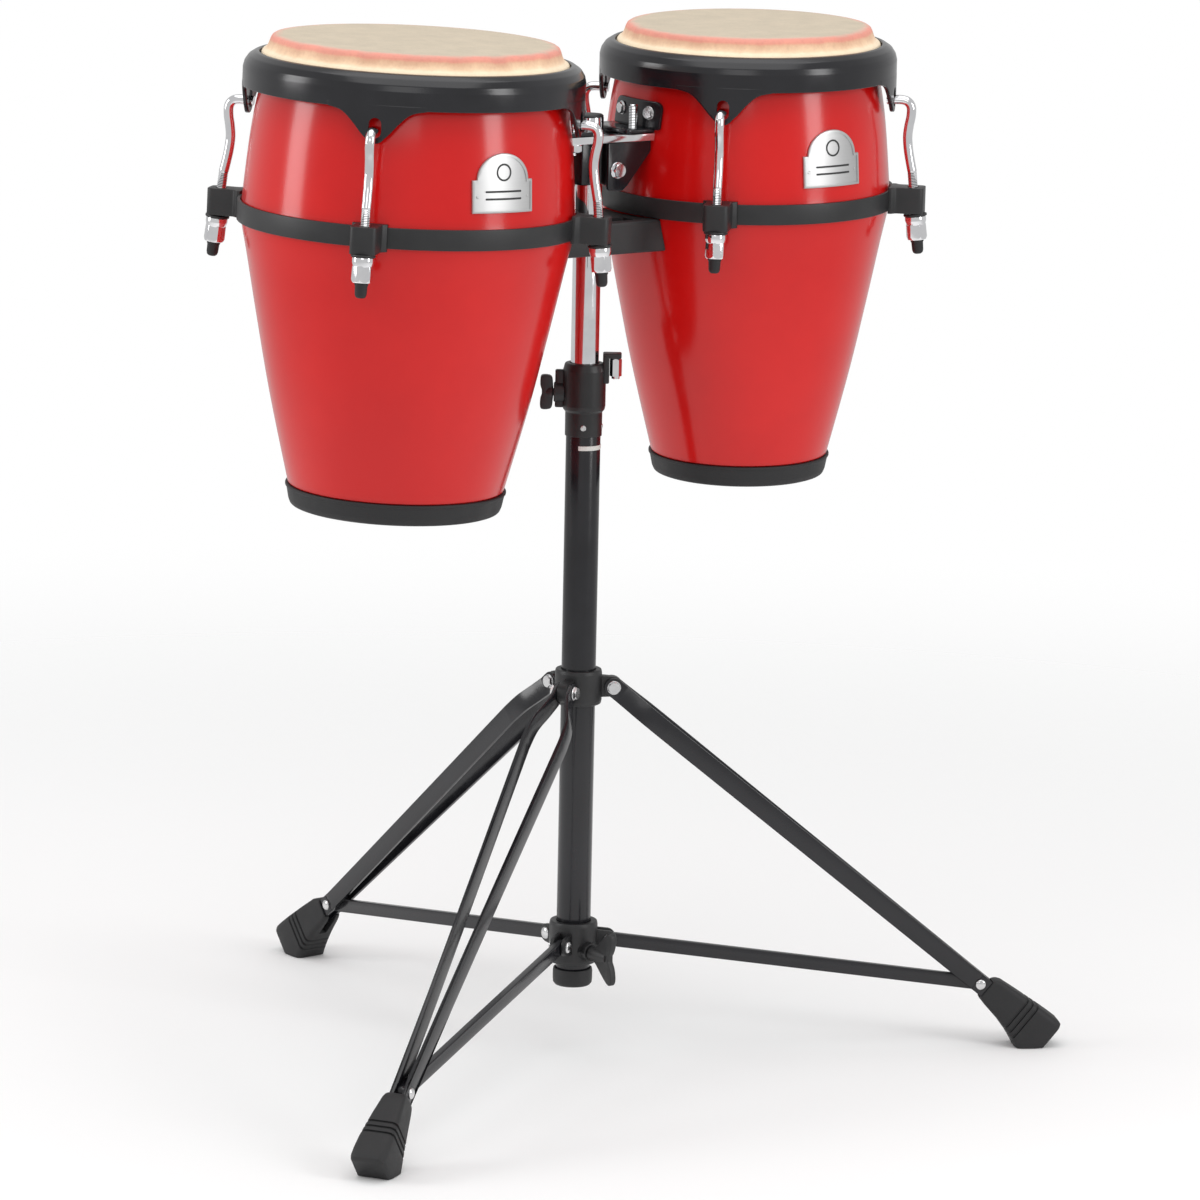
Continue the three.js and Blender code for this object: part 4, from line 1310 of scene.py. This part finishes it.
clamp_place = at_post(CLAMP_SCREW_Z, math.radians(CLAMP_SCREW_TURN), 18)
broad_lobe = [(6.6, -6), (7.2, -11), (9.2, -13.2), (14.2, -13.6), (16.4, -12), (16.6, -6),
              (15.4, -2)]
piece("clamp_wing_screw", wing_screw(3, 6.4, 7, broad_lobe, 4.2), MOULDED, "clamp_wing",
      clamp_place, ["clamp_wing_bolt"])
end_screw = tipped(dome(2.2, 1.2), 90, "X")
piece("clamp_wing_pin", moved(end_screw, 11.6, -4.1, 0), ZINC, "clamp_wing", clamp_place)
COLLAR_SCREW_Z, COLLAR_SCREW_TURN = 88, -90
collar_place = at_post(COLLAR_SCREW_Z, math.radians(COLLAR_SCREW_TURN), 17.6)
swept_lobe = [(10.8, -3.6), (17, -8), (25, -15.2), (31.5, -20.4), (35.6, -20.8), (37.4, -16),
              (36.0, -8), (33, -2.4)]
piece("collar_wing_screw", wing_screw(3, 8.8, 24, swept_lobe, 2.8), MOULDED, "collar_wing",
      collar_place, ["collar_wing_bolt"])
print("wing screws made")

# %% [markdown]
# ## Collars
# The upper collar is fixed and carries the legs on three solid ears. The lower one slides and
# carries the struts in three forks. A Boolean could join the ears to the hub, but it would cut
# up the smooth shading. So ears are outlines with a round end, extruded and bevelled, and they
# start inside the collar's wall.


# %% Collars
def ear_outline(pivot, radius, low, high):
    return fillet([(15, low, 0.5), *[(x, z, 0.0) for x, z in
                                     arc(pivot[0], pivot[1], radius, -80, 80, 14)],
                   (15, high, 0.5)], 0.5, 2)


def spider_shape():
    hub = turned(fillet([(14.0, 288, 0.4), (18.2, 288, 1.2), (18.8, 291, 1), (18.8, 313, 1),
                         (18.2, 316, 1.2), (14.0, 316, 0.4)], 0.5, 4), 96)
    ears = []
    for angle in LEG_ANGLES:
        ear = upright(slab(ear_outline(LEG_PIVOT, 8, 293, 310.5), -4.1, 4.1, 0.9, 3))
        ears.append(tipped(ear, math.degrees(angle), "Z"))
    return joined(hub, *ears)


def sliding_collar_shape():
    hub = turned(fillet([(14.0, 76, 0.4), (18.8, 76, 1.2), (19.4, 79, 1), (19.4, 107, 1),
                         (18.8, 110, 1.2), (14.0, 110, 0.4)], 0.5, 4), 96)
    parts = [hub]
    for angle in LEG_ANGLES:
        for low in (-6.4, 3.4):
            ear = upright(slab(ear_outline(COLLAR_PIVOT, 7.5, 85, 103), low, low + 3, 0.7, 2))
            parts.append(tipped(ear, math.degrees(angle), "Z"))
    boss = turned(fillet([(3.6, 17, 0.3), (8.6, 17, 0.5), (7.5, 20, 2), (7.5, 26, 0.8),
                          (3.6, 26, 0.4)], 0.5, 3), 48)
    boss = moved(tipped(boss, 90, "Y"), z=COLLAR_SCREW_Z)
    parts.append(tipped(boss, COLLAR_SCREW_TURN, "Z"))
    return joined(*parts)


piece("spider_collar", spider_shape(), CASTING, "stand", at_post(), ["spider_collar"])
piece("sliding_collar", sliding_collar_shape(), CASTING, "collar", at_post(), ["sliding_collar"])
print("collars made")

# %% [markdown]
# ## Legs and struts
# A leg is two flat bars. They start either side of their ear, spring apart, and then close
# slowly until they meet in the foot. A straight box could be bent with a modifier, but its two
# ends have to stay put. So each bar is drawn as a ribbon round one smooth line and extruded to
# its depth. A strut is one flat bar with round ends that lies between the bars.

# %% Leg bars
BAR_THICK, BAR_DEEP, LEG_END = 3.0, 15.0, 440.0


def ribbon(line, half):
    """An outline a little to each side of a line."""
    near, far = [], []
    for i, spot in enumerate(line):
        before, after = line[max(i - 1, 0)], line[min(i + 1, len(line) - 1)]
        way = (Vector(after) - Vector(before)).normalized()
        aside = Vector((-way.y, way.x)) * half
        near.append(tuple(Vector(spot) + aside))
        far.append(tuple(Vector(spot) - aside))
    return near + far[::-1]


def round_end(bm, at_x, radius, tolerance=0.8):
    """Rounds the upright corners of a bar's end, seen from the side."""
    ends = [e for e in bm.edges if all(abs(v.co.x / MM - at_x) < tolerance for v in e.verts)
            and abs(e.verts[0].co.z - e.verts[1].co.z) < 1e-6
            and abs(e.verts[0].co.y - e.verts[1].co.y) > 1e-4]
    bmesh.ops.bevel(bm, geom=ends, offset=radius * MM, offset_type="OFFSET", affect="EDGES",
                    segments=8, profile=0.5, material=-1, clamp_overlap=True)
    return bm


def leg_bar():
    stations = [(8, 6.0), (20, 9.6), (34, 14.2), (50, 15.5), (72, 15.0), (LEG_SPAN * 0.5, 10.6),
                (LEG_SPAN - 22, 5.0), (LEG_SPAN, 4.9), (LEG_END, 4.9)]
    line = [(-7.6, 6.0), *spline(stations, 5)]
    bar = slab(ribbon(line, BAR_THICK / 2), -BAR_DEEP / 2, BAR_DEEP / 2)
    round_end(bar, -7.6, BAR_DEEP / 2 - 0.1)
    return soften(bar, 0.7, 50, 3)


def leg_shape():
    one = leg_bar()
    other = placed(leg_bar(), Matrix.Diagonal((1, -1, 1, 1)))
    tie = block((432, -5, -6), (439, 5, 6), 0.5)
    return joined(one, other, tie)


def both_sides(make, offset):
    """The same head on each side of a joint, along Y."""
    left = moved(tipped(make(), -90, "X"), y=offset)
    right = moved(tipped(make(), 90, "X"), y=-offset)
    return joined(left, right)


def strut_bar():
    half = 5.5
    outline = arc(STRUT_SPAN, 0, half, -90, 90, 12) + arc(0, 0, half, 90, 270, 12)
    return upright(slab(outline, -2.9, 2.9, 0.8, 3))


def link_place(angle, pivot, drop):
    """The frame of a leg or a strut: at its pivot, with X along it."""
    hinge = at_post(angle=angle) @ Matrix.Translation((pivot[0] * MM, 0, pivot[1] * MM))
    return hinge @ Matrix.Rotation(drop, 4, "Y")


for name, angle in zip(LEG_NAMES, LEG_ANGLES):
    leg_place = link_place(angle, LEG_PIVOT, LEG_DROP)
    strut_place = link_place(angle, COLLAR_PIVOT, STRUT_DROP)
    piece(f"leg_{name}", leg_shape(), POWDER, f"leg_{name}", leg_place, [f"leg_{name}"])
    rivets = moved(both_sides(lambda: dome(4.4, 2.6), 6.35), LEG_SPAN)
    piece(f"leg_rivet_{name}", rivets, ZINC, f"leg_{name}", leg_place)
    bolt = both_sides(lambda: joined(hex_head(9, 3.2), rod_shape(5.6, -0.1, 0.7, 0.2)), 7.8)
    shank = tipped(rod_shape(2.5, -8, 8), 90, "X")
    piece(f"leg_bolt_{name}", joined(bolt, shank), ZINC, "stand", leg_place, [f"leg_bolt_{name}"])
    piece(f"strut_{name}", strut_bar(), POWDER, f"strut_{name}", strut_place, [f"strut_{name}"])
    strut_pin = joined(both_sides(lambda: dome(4.8, 2.6), 6.6),
                       tipped(rod_shape(2.5, -7, 7), 90, "X"))
    piece(f"strut_pin_{name}", strut_pin, ZINC, f"strut_{name}", strut_place)
print("legs and struts made")

# %% [markdown]
# ## Feet
# A foot is a club of solid moulded rubber that is pushed over the ends of the leg's bars. It
# widens and deepens towards its toe, three grooves ring its middle, and it is cut flat on the
# floor. A subdivided box would shrink from its cage and lose its square toe. So it is lofted:
# rounded rectangles are drawn at stations along the leg, the grooves are stations that step
# in, and neighbours are joined by strips of faces. Then the sole is cut, and the leg's socket,
# and a slot below that lets the end of the strut swing in.

# %% Foot shape
FOOT_STATIONS = [
    (401.6, 8.6, -8.2, 7.6), (402.4, 9.8, -9.2, 8.4), (404.5, 11.6, -10.0, 8.9),
    (408.0, 13.0, -10.8, 9.5), (424.0, 14.5, -13.4, 11.8), (438.0, 15.6, -17.0, 13.4),
    (448.0, 16.4, -20.6, 14.2), (458.0, 17.0, -26.0, 14.4), (464.5, 17.2, -29.5, 14.1),
    (467.2, 16.4, -29.0, 13.4), (468.4, 14.6, -28.0, 12.0),
]
GROOVES, GROOVE_WIDE, GROOVE_DEEP = (431.5, 436.5, 441.5), 2.3, 1.3


def foot_section(along_leg):
    """The top, the bottom and the half width of the foot at a distance along the leg."""
    for (u0, *first), (u1, *second) in zip(FOOT_STATIONS, FOOT_STATIONS[1:]):
        if along_leg <= u1:
            t = (along_leg - u0) / (u1 - u0)
            return [a + (b - a) * t for a, b in zip(first, second)]
    return list(FOOT_STATIONS[-1][1:])


def foot_stations():
    """Every station along the leg with its inset: smooth ones, and four for each groove."""
    groove_span = [(g - 0.3, g + GROOVE_WIDE + 0.3) for g in GROOVES]
    plain = [u for u, *_ in FOOT_STATIONS] + [412.0, 416.0, 420.0, 428.0, 453.0]
    kept = [(u, 0.0) for u in plain if not any(low < u < high for low, high in groove_span)]
    for g in GROOVES:
        kept += [(g, 0.0), (g + 0.5, GROOVE_DEEP), (g + GROOVE_WIDE - 0.5, GROOVE_DEEP),
                 (g + GROOVE_WIDE, 0.0)]
    return sorted(kept)


def foot_loft():
    """Joins rounded rectangles along X into one closed body, with its ends capped."""
    bm = bmesh.new()
    rings = []
    for along_leg, inset in foot_stations():
        top, bottom, half = foot_section(along_leg)
        top, bottom, half = top - inset, bottom + inset, half - inset
        corner = 0.42 * half
        ring = fillet([(-half, bottom), (half, bottom), (half, top), (-half, top)], corner, 5)
        rings.append([bm.verts.new((along_leg * MM, y * MM, z * MM)) for y, z in ring])
    for near, far in zip(rings, rings[1:]):
        for i in range(len(near)):
            k = (i + 1) % len(near)
            bm.faces.new((near[i], near[k], far[k], far[i]))
    bm.faces.new(rings[0])
    bm.faces.new(rings[-1])
    bmesh.ops.recalc_face_normals(bm, faces=bm.faces)
    return bm


print("foot stations:", len(foot_stations()))


# %% Feet
SOCKET_HALF, SLOT_HALF = 6.7, 3.6


def in_leg_plane(bm):
    """Turns a shape drawn along the leg into the leg's upright plane."""
    tipped(bm, math.degrees(LEG_DROP), "Y")
    return moved(bm, LEG_PIVOT[0], 0, LEG_PIVOT[1])


def foot_shape():
    below_floor = block((300, -60, -60), (440, 60, 0), 0)
    socket = block((LEG_SPAN - 12, -SOCKET_HALF, -7.8), (442.3, SOCKET_HALF, 7.8), 0)
    slot = block((LEG_SPAN - 30, -SLOT_HALF, -40), (424, SLOT_HALF, 2), 0)
    return cut(in_leg_plane(foot_loft()), below_floor, in_leg_plane(socket), in_leg_plane(slot))


for name, angle in zip(LEG_NAMES, LEG_ANGLES):
    foot = piece(f"foot_{name}", foot_shape(), RUBBER, f"leg_{name}", at_post(angle=angle),
                 [f"foot_{name}"], corner=35)
print("each foot:", len(foot.data.polygons), "faces")

# %% [markdown]
# ## Floor and light
# The floor is a wide pale sheet that fades out into an even white surround, so that no horizon
# shows. It lies a hair below the feet, because two faces at one height flicker.


# %% Backdrop
FLOOR_GAP = 0.6


def add_backdrop():
    bm = bmesh.new()
    bmesh.ops.create_grid(bm, x_segments=1, y_segments=1, size=30.0)
    mesh = bpy.data.meshes.new("floor")
    bm.to_mesh(mesh)
    bm.free()
    floor = bpy.data.objects.new("floor", mesh)
    floor.location.z = -FLOOR_GAP * MM
    bpy.context.scene.collection.objects.link(floor)
    material, shader = principled("pale floor", Roughness=0.75)
    shader.inputs["Base Color"].default_value = (0.95, 0.95, 0.95, 1)
    tree = material.node_tree
    place = add(tree, "ShaderNodeTexCoord")
    reach = add(tree, "ShaderNodeVectorMath", operation="LENGTH")
    fade = add(tree, "ShaderNodeMapRange", interpolation_type="SMOOTHSTEP")
    fade.inputs["From Min"].default_value = 0.45
    fade.inputs["From Max"].default_value = 2.2
    fade.inputs["To Min"].default_value = 1.0
    fade.inputs["To Max"].default_value = 0.0
    tree.links.new(place.outputs["Object"], reach.inputs[0])
    tree.links.new(reach.outputs["Value"], fade.inputs["Value"])
    tree.links.new(fade.outputs["Result"], shader.inputs["Alpha"])
    mesh.materials.append(material)
    return floor


print("backdrop:", add_backdrop().name, FLOOR_GAP, "mm below the feet")

# %% [markdown]
# A large soft light hangs above, two tall ones stand left and right, and a weak one fills the
# front. Small lamps would leave hard spots on the lacquer, and the tall ones give it the long
# upright highlights of a curved glossy wall. The surround sheds less light than it shows, so
# that the back can be white while the shadows keep some depth.


# %% Lights
def soft_light(name, spot, aim, width, height, power):
    data = bpy.data.lights.new(name, "AREA")
    data.shape = "RECTANGLE"
    data.size, data.size_y, data.energy = width, height, power
    lamp = bpy.data.objects.new(name, data)
    lamp.location = spot
    lamp.rotation_euler = (Vector(aim) - Vector(spot)).to_track_quat("-Z", "Y").to_euler()
    bpy.context.scene.collection.objects.link(lamp)
    return lamp


def camera_spot(right, ahead, up):
    """A place given from where the camera's side would put it."""
    x = Vector((math.cos(TURN), -math.sin(TURN), 0))
    y = Vector((math.sin(TURN), math.cos(TURN), 0))
    return POST + x * right + y * ahead + Vector((0, 0, up))


aim = camera_spot(0, 0, 0.55)
soft_light("left softbox", camera_spot(-2.4, -0.35, 1.25), aim, 0.7, 1.3, 16)
soft_light("right softbox", camera_spot(2.05, -1.25, 1.25), aim, 0.6, 1.3, 15)
soft_light("overhead", camera_spot(0, -0.4, 2.8), aim, 2.6, 2.6, 30)
soft_light("front fill", camera_spot(-0.4, -3.6, 2.0), aim, 1.6, 1.2, 8)


def add_surround(seen, shed):
    """An even white surround that is seen at one brightness and sheds light at another."""
    world = bpy.data.worlds.new("studio")
    world.use_nodes = True
    tree = world.node_tree
    path = add(tree, "ShaderNodeLightPath")
    power = add(tree, "ShaderNodeMapRange")
    power.inputs["To Min"].default_value = shed
    power.inputs["To Max"].default_value = seen
    back = tree.nodes["Background"]
    back.inputs["Color"].default_value = (1.0, 1.0, 1.0, 1)
    tree.links.new(path.outputs["Is Camera Ray"], power.inputs["Value"])
    tree.links.new(power.outputs["Result"], back.inputs["Strength"])
    bpy.context.scene.world = world


add_surround(1.0, 0.62)
bpy.context.scene.view_settings.view_transform = "Standard"

# %% [markdown]
# ## Pieces and faces
# The finished pieces are counted, with all their faces.

# %% Pieces and faces
print("pieces:", len(MADE), "faces:", sum(len(o.data.polygons) for o in MADE))
